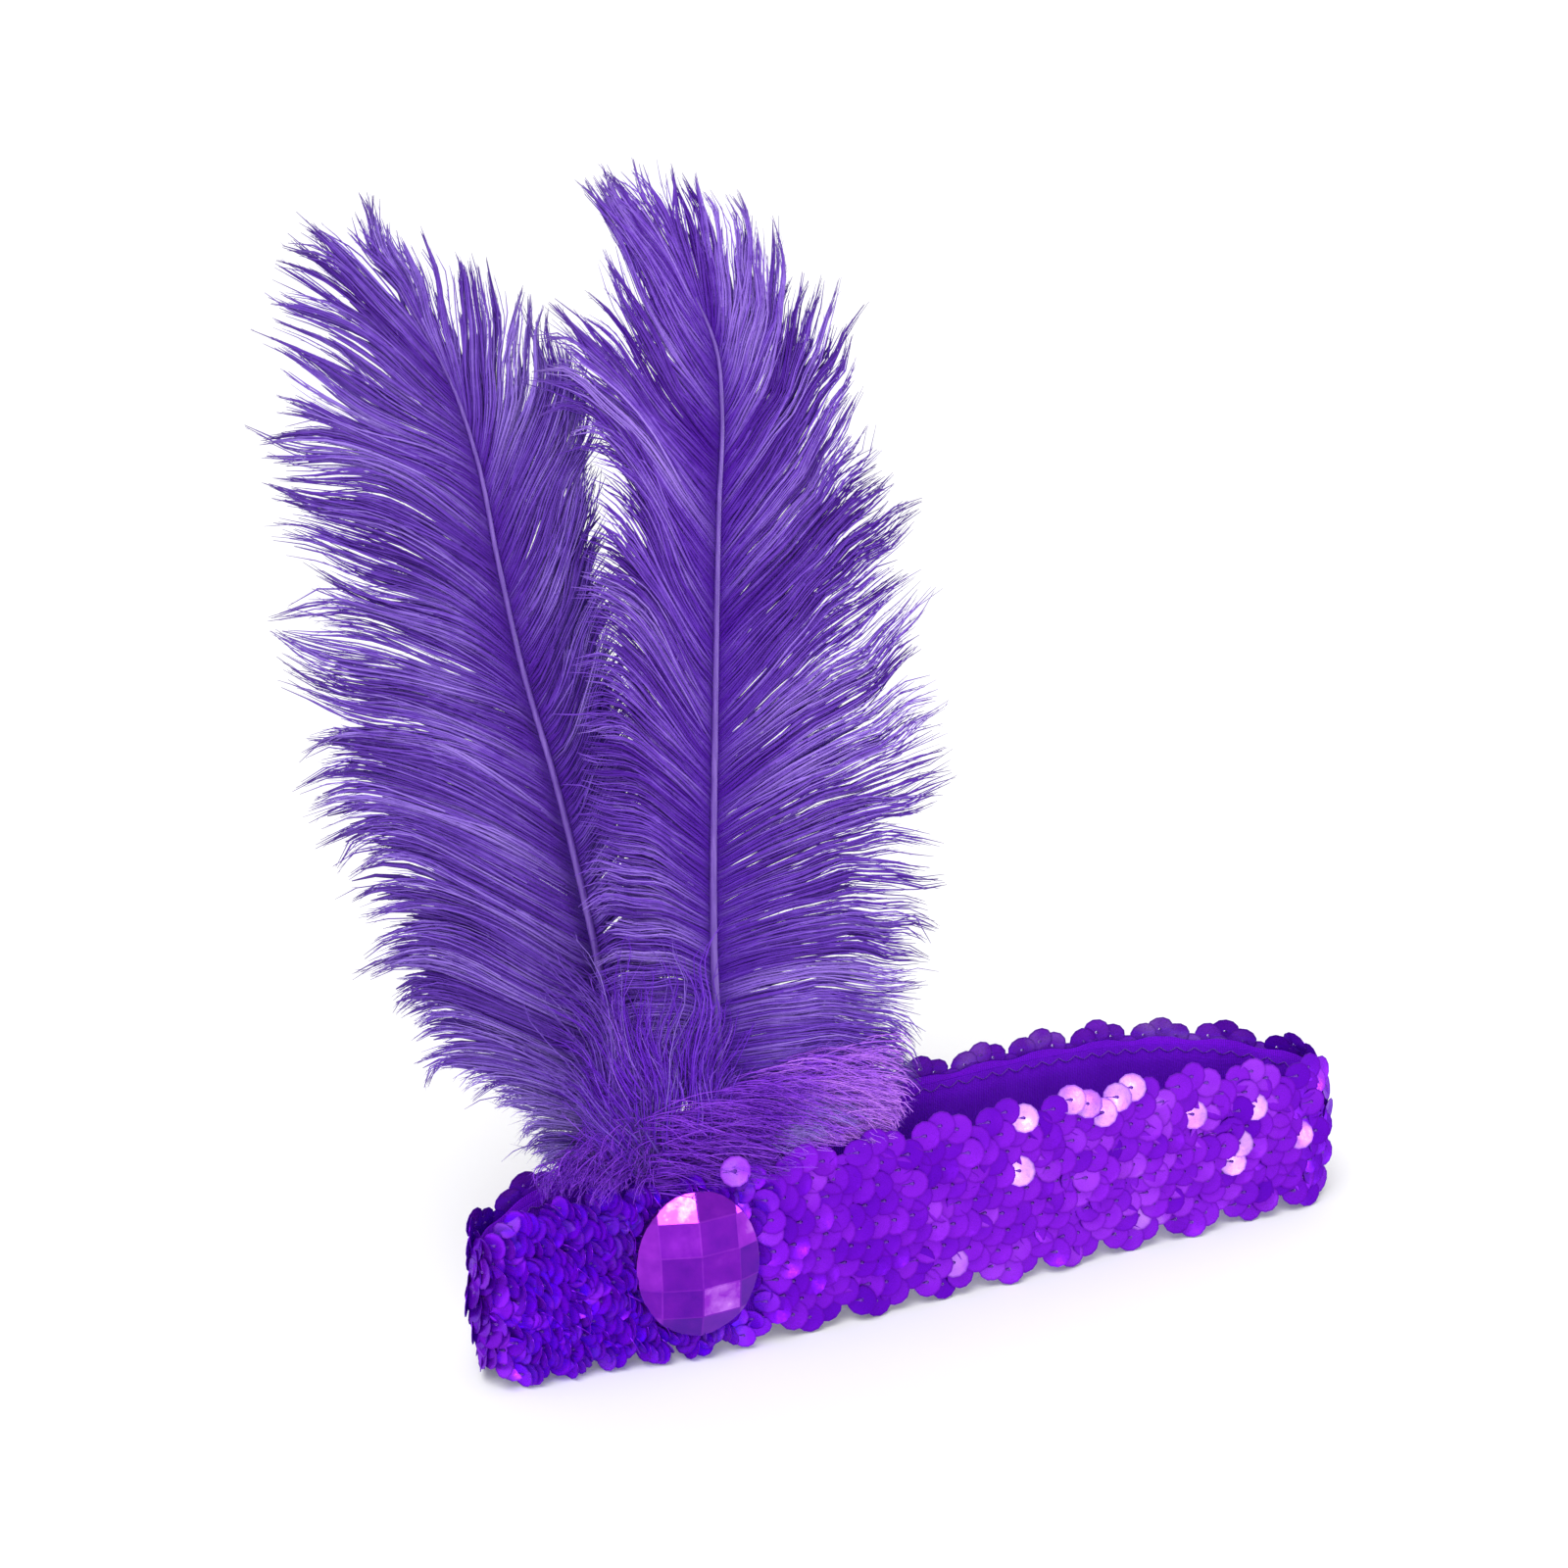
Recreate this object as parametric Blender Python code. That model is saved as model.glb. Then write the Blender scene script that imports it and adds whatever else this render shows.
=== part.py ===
"""Dress headband: a standing loop of sequin trim on an elastic backing, with an
oval faceted gem and two plumes at the front.

Every length below is in millimetres. The loop lies along X with its front on
the -Y side, Z is up and the trim's scalloped lower edge rests on Z = 0.
"""

import math

import bmesh
import bpy
import numpy as np

MM = 0.001

# ---------------------------------------------------------------- the loop
# outer face of the trim seen from above, front left corner first,
# along the front to the right and back along the rear
LOOP_COLUMNS = ("x", "y")
LOOP_STATIONS = (
    (3.4, -3.6),
    (25.0, -5.2),
    (50.0, -10.4),
    (80.0, -10.6),
    (110.0, -10.2),
    (140.0, -9.6),
    (170.0, -8.0),
    (200.0, -7.0),
    (218.0, -6.6),
    (227.5, -3.5),
    (229.6, 3.0),
    (225.5, 12.0),
    (212.0, 21.6),
    (190.0, 27.0),
    (160.0, 26.6),
    (122.0, 23.2),
    (80.0, 21.8),
    (44.0, 21.4),
    (20.0, 18.8),
    (6.0, 12.6),
    (-0.8, 5.6),
    (-1.4, -0.6),
)
LOOP_MID_X = 114.0
LOOP_HALF_X = 116.0

TRIM_HEIGHT = 51.0      # in the middle of the loop, over the scallop tips
TRIM_END_DROP = {"left": 10.5, "right": 8.5}  # less where the loop turns
TRIM_WALL = 1.8
SCALLOP_PITCH = 18.0
SCALLOP_PITCH_GATHERED = 10.3
GATHERED_LENGTH = 55.0  # front left stretch where the trim is bunched up
SCALLOP_SHIFT = 0.24    # of one scallop
SCALLOP_DEPTH = 4.0
SCALLOP_STEPS = 6
BULGE_MIDDLE = 0.9      # the wall's half-height line stands out by this much
BULGE_END = 2.6

BACKING_WALL = 1.2
BACKING_GAP = 0.35
BACKING_INSET = 5.2     # from the trim's tips to the backing's plain edges

# ---------------------------------------------------------------- the gem
GEM_X = 47.6
GEM_Z = 26.2
GEM_HALF_WIDTH = 15.0
GEM_HALF_HEIGHT = 19.0
GEM_CROWN = 7.2
GEM_RIM = 2.2
GEM_COLUMN_LINES = (-9.6, 0.0, 9.6)
GEM_ROW_LINES = (-12.4, -4.3, 4.3, 12.4)
GEM_GAP = 0.35
GEM_SEAT = 0.25         # clears the trim's outer face, which bows a little forward
GEM_SIDES = 40

# ---------------------------------------------------------------- the plumes
PLUME_COLUMNS = ("z", "left", "quill", "right")
RIGHT_PLUME = (
    (46.0, 47.0, 58.1, 74.0),
    (50.0, 44.0, 58.1, 92.0),
    (56.0, 40.5, 58.1, 107.0),
    (64.0, 36.8, 58.1, 112.5),
    (80.0, 34.1, 58.2, 116.0),
    (100.0, 31.9, 58.3, 120.5),
    (125.0, 29.6, 59.6, 125.5),
    (155.0, 31.0, 61.9, 126.5),
    (180.0, 33.0, 64.0, 123.5),
    (205.0, 33.0, 66.4, 116.5),
    (225.0, 28.2, 68.7, 107.5),
    (240.0, 27.6, 68.4, 103.4),
    (254.0, 36.5, 63.2, 96.0),
    (266.0, 40.0, 57.2, 82.0),
    (280.5, 42.5, 53.6, 67.5),
)
LEFT_PLUME = (
    (46.0, 10.5, 40.8, 53.0),
    (52.0, 8.9, 40.0, 54.0),
    (60.0, 6.5, 38.6, 54.4),
    (70.0, -2.8, 37.0, 54.3),
    (82.0, -11.2, 35.2, 54.0),
    (100.0, -18.2, 32.9, 52.4),
    (122.0, -25.0, 29.6, 51.0),
    (145.0, -32.5, 25.6, 49.6),
    (170.0, -34.2, 20.4, 48.4),
    (195.0, -35.2, 16.8, 42.6),
    (220.0, -34.2, 13.8, 37.4),
    (236.0, -33.2, 9.8, 32.0),
    (252.0, -30.6, 2.8, 27.0),
    (263.0, -27.0, -2.3, 12.0),
    (274.0, -15.5, -9.6, -2.6),
)
QUILL_FOOT_Z = 9.0
QUILL_FOOT_X = {"right": 58.4, "left": 47.4}
QUILL_TOP_Z = {"right": 270.0, "left": 262.0}
QUILL_FOOT_RADIUS = 1.7
QUILL_TOP_RADIUS = 0.5
QUILL_SIDES = 8
PLUME_Y = {"right": -4.4, "left": 6.2}
PLUME_BOW = 14.0        # how far the plumes lean back at PLUME_BOW_Z
PLUME_BOW_FROM = 50.0
PLUME_BOW_Z = 280.0
VANE_QUILL_THICKNESS = 5.4
VANE_EDGE_THICKNESS = 1.8
VANE_TIP_THINNING = 0.45
VANE_CUP = 7.0          # outer vanes curl back by this much at CUP_WIDTH
CUP_WIDTH = 60.0
VANE_COLUMNS = 4
VANE_GAP = 0.35

# ---------------------------------------------------------------- the down
DOWN_COLUMNS = ("z", "centre", "half_width", "half_depth")
DOWN_ROWS = (
    (52.2, 41.5, 5.5, 1.0),
    (58.0, 41.0, 9.0, 1.7),
    (68.0, 40.0, 12.5, 2.1),
    (80.0, 38.6, 14.5, 2.1),
    (92.0, 37.6, 13.5, 1.8),
    (102.0, 37.0, 9.0, 1.3),
    (109.0, 36.8, 3.5, 0.8),
)
DOWN_Y = -10.0
DOWN_SIDES = 12

# ---------------------------------------------------------------- materials
# name: (colour, roughness, metallic)
MATERIALS = {
    "sequin_trim": ((0.200, 0.006, 0.640), 0.30, 0.25),
    "elastic_backing": ((0.110, 0.002, 0.480), 0.90, 0.0),
    "gem": ((0.320, 0.010, 0.560), 0.08, 0.0),
    "quill_left": ((0.115, 0.050, 0.360), 0.55, 0.0),
    "quill_right": ((0.115, 0.050, 0.360), 0.55, 0.0),
    "vane_left_outer": ((0.135, 0.065, 0.400), 0.80, 0.0),
    "vane_left_inner": ((0.120, 0.050, 0.380), 0.80, 0.0),
    "vane_right_inner": ((0.120, 0.050, 0.390), 0.80, 0.0),
    "vane_right_outer": ((0.140, 0.062, 0.470), 0.80, 0.0),
    "down_tuft": ((0.200, 0.060, 0.600), 0.85, 0.0),
}


def clear_scene():
    for item in list(bpy.data.objects):
        bpy.data.objects.remove(item, do_unlink=True)


def make_material(name):
    colour, roughness, metallic = MATERIALS[name]
    material = bpy.data.materials.new(name)
    material.use_nodes = True
    shader = material.node_tree.nodes["Principled BSDF"]
    shader.inputs["Base Color"].default_value = (*colour, 1.0)
    shader.inputs["Roughness"].default_value = roughness
    shader.inputs["Metallic"].default_value = metallic
    material.diffuse_color = (*colour, 1.0)
    return material


def add_object(name, points, faces, sharp_degrees):
    mesh = bpy.data.meshes.new(name)
    mesh.from_pydata([tuple(float(v) * MM for v in p) for p in points], [], faces)
    mesh.validate()
    outward = bmesh.new()
    outward.from_mesh(mesh)
    bmesh.ops.recalc_face_normals(outward, faces=outward.faces)
    outward.to_mesh(mesh)
    outward.free()
    item = bpy.data.objects.new(name, mesh)
    bpy.context.scene.collection.objects.link(item)
    mesh.materials.append(make_material(name))
    if sharp_degrees:
        mesh.shade_smooth()
        mesh.set_sharp_from_angle(angle=math.radians(sharp_degrees))
    return item


# ------------------------------------------------------------ loop geometry
def closed_curve(stations, steps=40):
    """A closed Catmull-Rom curve through the stations."""
    p = np.array(stations, float)
    t = (np.arange(steps) / steps)[:, None]
    spans = []
    for k in range(len(p)):
        a, b, c, d = (p[(k + j) % len(p)] for j in (-1, 0, 1, 2))
        spans.append(
            0.5
            * (
                2 * b
                + (c - a) * t
                + (2 * a - 5 * b + 4 * c - d) * t**2
                + (3 * b - a - 3 * c + d) * t**3
            )
        )
    return np.vstack(spans)


class Loop:
    """The loop's outline: position and outward normal by arc length."""

    def __init__(self, stations):
        self.points = closed_curve(stations)
        closed = np.vstack([self.points, self.points[:1]])
        self.arc = np.concatenate(
            [[0.0], np.cumsum(np.linalg.norm(np.diff(closed, axis=0), axis=1))]
        )
        self.length = float(self.arc[-1])
        self.closed = closed

    def at(self, s):
        s = np.asarray(s, float) % self.length
        return np.stack(
            [np.interp(s, self.arc, self.closed[:, k]) for k in (0, 1)], -1
        )

    def normal(self, s):
        ahead = self.at(np.asarray(s) + 1.2) - self.at(np.asarray(s) - 1.2)
        ahead /= np.linalg.norm(ahead, axis=-1, keepdims=True)
        return np.stack([ahead[..., 1], -ahead[..., 0]], -1)


def height_at(x):
    along = np.clip(np.abs(x - LOOP_MID_X) / LOOP_HALF_X, 0.0, 1.0)
    drop = np.where(x < LOOP_MID_X, TRIM_END_DROP["left"], TRIM_END_DROP["right"])
    return TRIM_HEIGHT - drop * along**2.5


def bulge_at(x, z, height):
    along = np.clip(np.abs(x - LOOP_MID_X) / LOOP_HALF_X, 0.0, 1.0)
    most = BULGE_MIDDLE + (BULGE_END - BULGE_MIDDLE) * along**3
    return most * (1.0 - np.abs(2.0 * z / height - 1.0))


def scallop_stations(loop):
    """Arc lengths of the stations and each one's place in its scallop."""
    fine = np.linspace(0.0, loop.length, 4001)
    gathered = 1.0 / (1.0 + np.exp((fine - GATHERED_LENGTH) / 2.0))
    pitch = SCALLOP_PITCH + (SCALLOP_PITCH_GATHERED - SCALLOP_PITCH) * gathered
    rate = 1.0 / pitch
    phase = np.concatenate(
        [[0.0], np.cumsum(0.5 * (rate[1:] + rate[:-1]) * np.diff(fine))]
    )
    scallops = round(float(phase[-1]))
    phase *= scallops / phase[-1]
    wanted = (np.arange(scallops * SCALLOP_STEPS) + 0.5) / SCALLOP_STEPS
    shifted = (wanted + SCALLOP_SHIFT) % scallops
    s = np.sort(np.interp(shifted, phase, fine))
    wanted = np.interp(s, fine, phase) - SCALLOP_SHIFT
    place = wanted - np.round(wanted)
    return s, place


def wall_points(loop, s, z, inward):
    base = loop.at(s)
    normal = loop.normal(s)
    x = base[:, 0]
    out = bulge_at(x, z, height_at(x)) - inward
    flat = base + normal * out[:, None]
    return np.column_stack([flat, z])


def ring_solid(name, columns, sharp_degrees):
    """A closed band from matching closed columns of points, in order round
    the wall's section."""
    count = len(columns)
    stations = len(columns[0])
    points = np.stack(columns, 1).reshape(-1, 3)
    faces = []
    for i in range(stations):
        n = (i + 1) % stations
        for k in range(count):
            m = (k + 1) % count
            faces.append((i * count + k, n * count + k, n * count + m, i * count + m))
    return add_object(name, points, faces, sharp_degrees)


def build_band(loop):
    s, place = scallop_stations(loop)
    height = height_at(loop.at(s)[:, 0])
    first = 0.5 / SCALLOP_STEPS
    lobe = np.clip((np.abs(place) - first) / (0.5 - first), 0.0, 1.0)
    rise = SCALLOP_DEPTH * lobe**1.7
    middle = 0.5 * height

    rows = (rise, middle, height - rise)
    outer = [wall_points(loop, s, z, 0.0) for z in rows]
    inner = [wall_points(loop, s, z, TRIM_WALL) for z in rows[::-1]]
    ring_solid("sequin_trim", outer + inner, 40)

    near = TRIM_WALL + BACKING_GAP
    rows = (np.full_like(s, BACKING_INSET), middle, height - BACKING_INSET)
    outer = [wall_points(loop, s, z, near) for z in rows]
    inner = [wall_points(loop, s, z, near + BACKING_WALL) for z in rows[::-1]]
    ring_solid("elastic_backing", outer + inner, 40)


# ------------------------------------------------------------------ the gem
def gem_height(u, v):
    fall = GEM_CROWN - GEM_RIM
    return (
        GEM_CROWN
        - 0.5 * fall * (u / GEM_HALF_WIDTH) ** 2 * 1.9
        - 0.5 * fall * (v / GEM_HALF_HEIGHT) ** 2 * 1.9
    )


def build_gem(loop):
    """A flat-backed oval whose crown is a grid of flat facets. The crown's
    height is a sum of one curve per direction, so each facet is plane."""
    reach_u, reach_v = 1.15 * GEM_HALF_WIDTH, 1.15 * GEM_HALF_HEIGHT
    us = (-reach_u, *GEM_COLUMN_LINES, reach_u)
    vs = (-reach_v, *GEM_ROW_LINES, reach_v)
    top = [(u, v, gem_height(u, v)) for v in vs for u in us]
    low = [(u, v, -4.0) for v in vs for u in us]
    nu, nv = len(us), len(vs)
    faces = []
    for j in range(nv - 1):
        for i in range(nu - 1):
            a, b = j * nu + i, j * nu + i + 1
            c, d = (j + 1) * nu + i + 1, (j + 1) * nu + i
            faces.append((a, b, c, d))
            faces.append((d + nu * nv, c + nu * nv, b + nu * nv, a + nu * nv))
    ring = (
        [(0, i) for i in range(nu)]
        + [(j, nu - 1) for j in range(1, nv)]
        + [(nv - 1, i) for i in range(nu - 2, -1, -1)]
        + [(j, 0) for j in range(nv - 2, 0, -1)]
    )
    for k, (j, i) in enumerate(ring):
        jn, im = ring[(k + 1) % len(ring)]
        a, b = j * nu + i, jn * nu + im
        faces.append((b, a, a + nu * nv, b + nu * nv))
    gem = add_object("gem", top + low, faces, 0)

    turn = np.linspace(0.0, 2.0 * math.pi, GEM_SIDES, endpoint=False)
    oval = np.column_stack(
        [GEM_HALF_WIDTH * np.cos(turn), GEM_HALF_HEIGHT * np.sin(turn)]
    )
    waist = 0.9
    levels = ((0.0, 0.955), (waist, 1.0), (20.0, 1.0))
    points, sides = [], []
    for z, grow in levels:
        points += [(grow * u, grow * v, z) for u, v in oval]
    for level in range(len(levels) - 1):
        for k in range(GEM_SIDES):
            n = (k + 1) % GEM_SIDES
            a = level * GEM_SIDES
            sides.append((a + k, a + n, a + GEM_SIDES + n, a + GEM_SIDES + k))
    last = (len(levels) - 1) * GEM_SIDES
    sides.append(tuple(range(GEM_SIDES))[::-1])
    sides.append(tuple(last + k for k in range(GEM_SIDES)))
    mesh = bpy.data.meshes.new("gem_outline")
    mesh.from_pydata([tuple(float(v) * MM for v in p) for p in points], [], sides)
    cutter = bpy.data.objects.new("gem_outline", mesh)
    bpy.context.scene.collection.objects.link(cutter)
    cutter.hide_render = True
    cutter.display_type = "WIRE"
    trim = gem.modifiers.new("outline", "BOOLEAN")
    trim.operation = "INTERSECT"
    trim.solver = "EXACT"
    trim.object = cutter

    # stand it on the trim's outer face, facing out
    spans = np.linspace(0.0, 0.5 * loop.length, 2001)
    s = float(spans[np.argmin(np.abs(loop.at(spans)[:, 0] - GEM_X))])
    base, normal = loop.at(s), loop.normal(s)
    height = float(height_at(base[0]))
    out = float(bulge_at(base[0], GEM_Z, height)) + GEM_GAP + GEM_SEAT
    origin = np.array([*(base + normal * out), GEM_Z])
    side = np.array([-normal[1], normal[0], 0.0])
    up = np.array([0.0, 0.0, 1.0])
    facing = np.array([*normal, 0.0])
    frame = np.column_stack([side, up, facing])
    for item in (gem, cutter):
        for vertex in item.data.vertices:
            local = np.array(vertex.co) / MM
            vertex.co = tuple(float(v) * MM for v in origin + frame @ local)
        item.data.update()
    return gem, cutter


# --------------------------------------------------------------- the plumes
def plume_y(side, z):
    lean = np.clip(
        (np.asarray(z, float) - PLUME_BOW_FROM) / (PLUME_BOW_Z - PLUME_BOW_FROM),
        0.0,
        2.0,
    )
    return PLUME_Y[side] + PLUME_BOW * lean**2


def quill_radius(side, z):
    along = (np.asarray(z, float) - QUILL_FOOT_Z) / (QUILL_TOP_Z[side] - QUILL_FOOT_Z)
    along = np.clip(along, 0.0, 1.0)
    return QUILL_FOOT_RADIUS + (QUILL_TOP_RADIUS - QUILL_FOOT_RADIUS) * along


def quill_x(side, z, table):
    z = np.asarray(z, float)
    rows = np.array(table)
    heights = np.concatenate([[QUILL_FOOT_Z], rows[:, 0]])
    across = np.concatenate([[QUILL_FOOT_X[side]], rows[:, 2]])
    return np.interp(z, heights, across)


def build_quill(side, table):
    # rings at the vanes' rows, so that both bend at the same heights
    rows = [row[0] for row in table if row[0] < QUILL_TOP_Z[side] - 2.0]
    z = np.array([QUILL_FOOT_Z, *rows, QUILL_TOP_Z[side]])
    x = quill_x(side, z, table)
    y = plume_y(side, z)
    r = quill_radius(side, z)
    turn = np.linspace(0.0, 2.0 * math.pi, QUILL_SIDES, endpoint=False)
    points, faces = [], []
    for k in range(len(z)):
        for a in turn:
            points.append((x[k] + r[k] * math.cos(a), y[k] + r[k] * math.sin(a), z[k]))
    for k in range(len(z) - 1):
        for j in range(QUILL_SIDES):
            n = (j + 1) % QUILL_SIDES
            a, b = k * QUILL_SIDES, (k + 1) * QUILL_SIDES
            faces.append((a + j, a + n, b + n, b + j))
    faces.append(tuple(range(QUILL_SIDES))[::-1])
    last = (len(z) - 1) * QUILL_SIDES
    faces.append(tuple(last + j for j in range(QUILL_SIDES)))
    add_object("quill_" + side, points, faces, 50)


def build_vane(name, side, table, edge_column, cup):
    """The outer form of one side of a plume: a thin lens between the quill
    and the outline, thinner to its edge and tip."""
    rows = np.array(table)
    z = rows[:, 0]
    edge = rows[:, edge_column]
    direction = 1.0 if edge_column == 3 else -1.0
    quill = quill_x(side, z, table)
    start = quill + direction * (quill_radius(side, z) + VANE_GAP)
    count = VANE_COLUMNS + 1
    tip = np.clip((z - 215.0) / 60.0, 0.0, 1.0)
    foot = np.clip((58.0 - z) / 12.0, 0.0, 1.0)
    front, back = [], []
    for k in range(len(z)):
        for c in range(count):
            along = c / VANE_COLUMNS
            x = start[k] + (edge[k] - start[k]) * along
            thick = VANE_QUILL_THICKNESS + along * (
                VANE_EDGE_THICKNESS - VANE_QUILL_THICKNESS
            )
            thick *= 1.0 - VANE_TIP_THINNING * tip[k] - 0.35 * foot[k]
            lift = cup * ((x - quill[k]) / CUP_WIDTH) ** 2
            y = plume_y(side, z[k]) + lift
            front.append((x, y - 0.5 * thick, z[k]))
            back.append((x, y + 0.5 * thick, z[k]))
    offset = len(front)
    faces = []
    for k in range(len(z) - 1):
        for c in range(VANE_COLUMNS):
            a, b = k * count + c, k * count + c + 1
            d, e = a + count, b + count
            faces.append((a, b, e, d))
            faces.append((d + offset, e + offset, b + offset, a + offset))
    ring = (
        [c for c in range(count)]
        + [k * count + count - 1 for k in range(1, len(z))]
        + [(len(z) - 1) * count + c for c in range(count - 2, -1, -1)]
        + [k * count for k in range(len(z) - 2, 0, -1)]
    )
    for k, a in enumerate(ring):
        b = ring[(k + 1) % len(ring)]
        faces.append((b, a, a + offset, b + offset))
    add_object(name, front + back, faces, 50)


def build_down():
    turn = np.linspace(0.0, 2.0 * math.pi, DOWN_SIDES, endpoint=False)
    points, faces = [], []
    for z, centre, half_width, half_depth in DOWN_ROWS:
        for a in turn:
            points.append(
                (
                    centre + half_width * math.cos(a),
                    DOWN_Y + half_depth * math.sin(a),
                    z,
                )
            )
    for k in range(len(DOWN_ROWS) - 1):
        for j in range(DOWN_SIDES):
            n = (j + 1) % DOWN_SIDES
            a, b = k * DOWN_SIDES, (k + 1) * DOWN_SIDES
            faces.append((a + j, a + n, b + n, b + j))
    faces.append(tuple(range(DOWN_SIDES))[::-1])
    last = (len(DOWN_ROWS) - 1) * DOWN_SIDES
    faces.append(tuple(last + j for j in range(DOWN_SIDES)))
    add_object("down_tuft", points, faces, 50)


def centre_on_base(cutter):
    """Moves every mesh so that the whole stands centred on the origin."""
    shown = [o for o in bpy.data.objects if o is not cutter]
    low = np.full(3, 1e9)
    high = np.full(3, -1e9)
    depsgraph = bpy.context.evaluated_depsgraph_get()
    for item in shown:
        mesh = item.evaluated_get(depsgraph).to_mesh()
        for vertex in mesh.vertices:
            low = np.minimum(low, vertex.co)
            high = np.maximum(high, vertex.co)
    shift = (-0.5 * (low[0] + high[0]), -0.5 * (low[1] + high[1]), -low[2])
    for item in bpy.data.objects:
        for vertex in item.data.vertices:
            vertex.co = [float(v) + float(d) for v, d in zip(vertex.co, shift)]
        item.data.update()


def main():
    clear_scene()
    loop = Loop(LOOP_STATIONS)
    build_band(loop)
    gem, cutter = build_gem(loop)
    build_quill("right", RIGHT_PLUME)
    build_quill("left", LEFT_PLUME)
    build_vane("vane_right_outer", "right", RIGHT_PLUME, 3, VANE_CUP)
    build_vane("vane_right_inner", "right", RIGHT_PLUME, 1, 0.0)
    build_vane("vane_left_inner", "left", LEFT_PLUME, 3, 0.0)
    build_vane("vane_left_outer", "left", LEFT_PLUME, 1, VANE_CUP)
    build_down()
    bpy.context.view_layer.update()
    centre_on_base(cutter)


main()
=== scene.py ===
"""The dress headband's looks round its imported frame: sequins sewn to a knit trim,
a plain knit backing, a faceted gem, and two dyed plumes made barb by barb.

Lengths in the tables are millimetres in the part's own layout, whose X runs
along the band from its left end; LAYOUT_ORIGIN takes them to the row frame.
"""

import math

import bmesh
import bpy
import numpy as np
from mathutils import Matrix, Vector


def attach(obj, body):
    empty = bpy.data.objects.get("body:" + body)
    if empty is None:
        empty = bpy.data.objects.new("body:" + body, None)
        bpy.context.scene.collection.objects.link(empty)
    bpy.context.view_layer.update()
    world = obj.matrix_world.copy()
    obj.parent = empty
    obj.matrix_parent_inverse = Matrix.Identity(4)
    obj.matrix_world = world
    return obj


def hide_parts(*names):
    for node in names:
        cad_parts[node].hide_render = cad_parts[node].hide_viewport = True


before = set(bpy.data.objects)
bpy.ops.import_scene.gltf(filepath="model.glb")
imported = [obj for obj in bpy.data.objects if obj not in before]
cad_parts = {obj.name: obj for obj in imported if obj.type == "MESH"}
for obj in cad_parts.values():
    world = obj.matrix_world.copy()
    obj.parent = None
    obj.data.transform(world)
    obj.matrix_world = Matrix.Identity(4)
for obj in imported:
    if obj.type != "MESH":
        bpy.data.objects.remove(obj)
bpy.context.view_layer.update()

MM = 0.001
LAYOUT_ORIGIN = np.array([98.5384, 4.9653, 0.0])
UP = np.array([0.0, 0.0, 1.0])

# ------------------------------------------------------------------ the band
LOOP_STATIONS = (
    (3.4, -3.6), (25.0, -5.2), (50.0, -10.4), (80.0, -10.6), (110.0, -10.2),
    (140.0, -9.6), (170.0, -8.0), (200.0, -7.0), (218.0, -6.6), (227.5, -3.5),
    (229.6, 3.0), (225.5, 12.0), (212.0, 21.6), (190.0, 27.0), (160.0, 26.6),
    (122.0, 23.2), (80.0, 21.8), (44.0, 21.4), (20.0, 18.8), (6.0, 12.6),
    (-0.8, 5.6), (-1.4, -0.6),
)
LOOP_MID_X, LOOP_HALF_X = 114.0, 116.0
TRIM_HEIGHT = 51.0
TRIM_END_DROP = {"left": 10.5, "right": 8.5}
TRIM_WALL = 1.8
SCALLOP_PITCH, SCALLOP_PITCH_GATHERED, GATHERED_LENGTH = 18.0, 10.3, 55.0
SCALLOP_SHIFT = 0.24
BULGE_MIDDLE, BULGE_END = 0.9, 2.6
BACKING_WALL, BACKING_GAP, BACKING_INSET = 1.2, 0.35, 5.2

SEQUIN_RADIUS = 3.85
SEQUIN_HOLE = 0.42
SEQUIN_THICKNESS = 0.17
SEQUIN_CUP = 0.34
SEQUIN_SIDES = 12
SEQUIN_ROWS = 9
SEQUINS_PER_SCALLOP = 4
ROW_INSET = 6.95        # of the outer rows' mean line from the scallop tips
ROW_WAVE = 5.2          # how far that line swings between tip and notch
# how far each sequin is turned about the upright, along the front
FRONT_TURN_X = (40.0, 54.0, 62.0, 70.0, 84.0)
FRONT_TURN = (50.0, 48.0, 32.0, 14.0, 9.0)
# sequins that lie at their own angle and catch the light, and carry a painted highlight colour too: place along x
# and z
TURNED_SEQUINS = (
    (136.0, 43.8), (134.6, 29.0), (152.8, 45.5), (157.0, 49.5), (162.6, 49.0),
    (159.8, 41.8), (166.0, 46.5), (150.0, 49.0), (188.6, 35.6), (205.8, 30.6),
    (201.0, 25.0), (216.0, 21.5), (197.8, 18.0),
)

# ------------------------------------------------------------------- the gem
GEM_X, GEM_Z = 47.6, 26.2
GEM_HALF_WIDTH, GEM_HALF_HEIGHT = 15.0, 19.0
# the brightness each facet shows, by its place on the stone: partly the foil behind it, partly painted highlight
# and shade from how the facets catch the light, the upper left facet most
FACET_FOIL_AND_LIGHT = (
    (-5.0, 15.5, 0.72), (5.0, 15.5, 0.34), (-11.8, 8.0, 0.54), (-4.9, 8.0, 0.46),
    (4.9, 8.0, 0.30), (11.8, 8.0, 0.62), (-12.0, 0.0, 0.56), (-4.8, 0.0, 0.30),
    (4.8, 0.0, 0.38), (12.0, 0.0, 0.12), (-11.8, -8.0, 0.36), (-4.9, -8.0, 0.26),
    (4.9, -8.0, 0.80), (11.8, -8.0, 0.12), (-5.0, -15.5, 0.10), (5.0, -15.5, 0.24),
)

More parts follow.
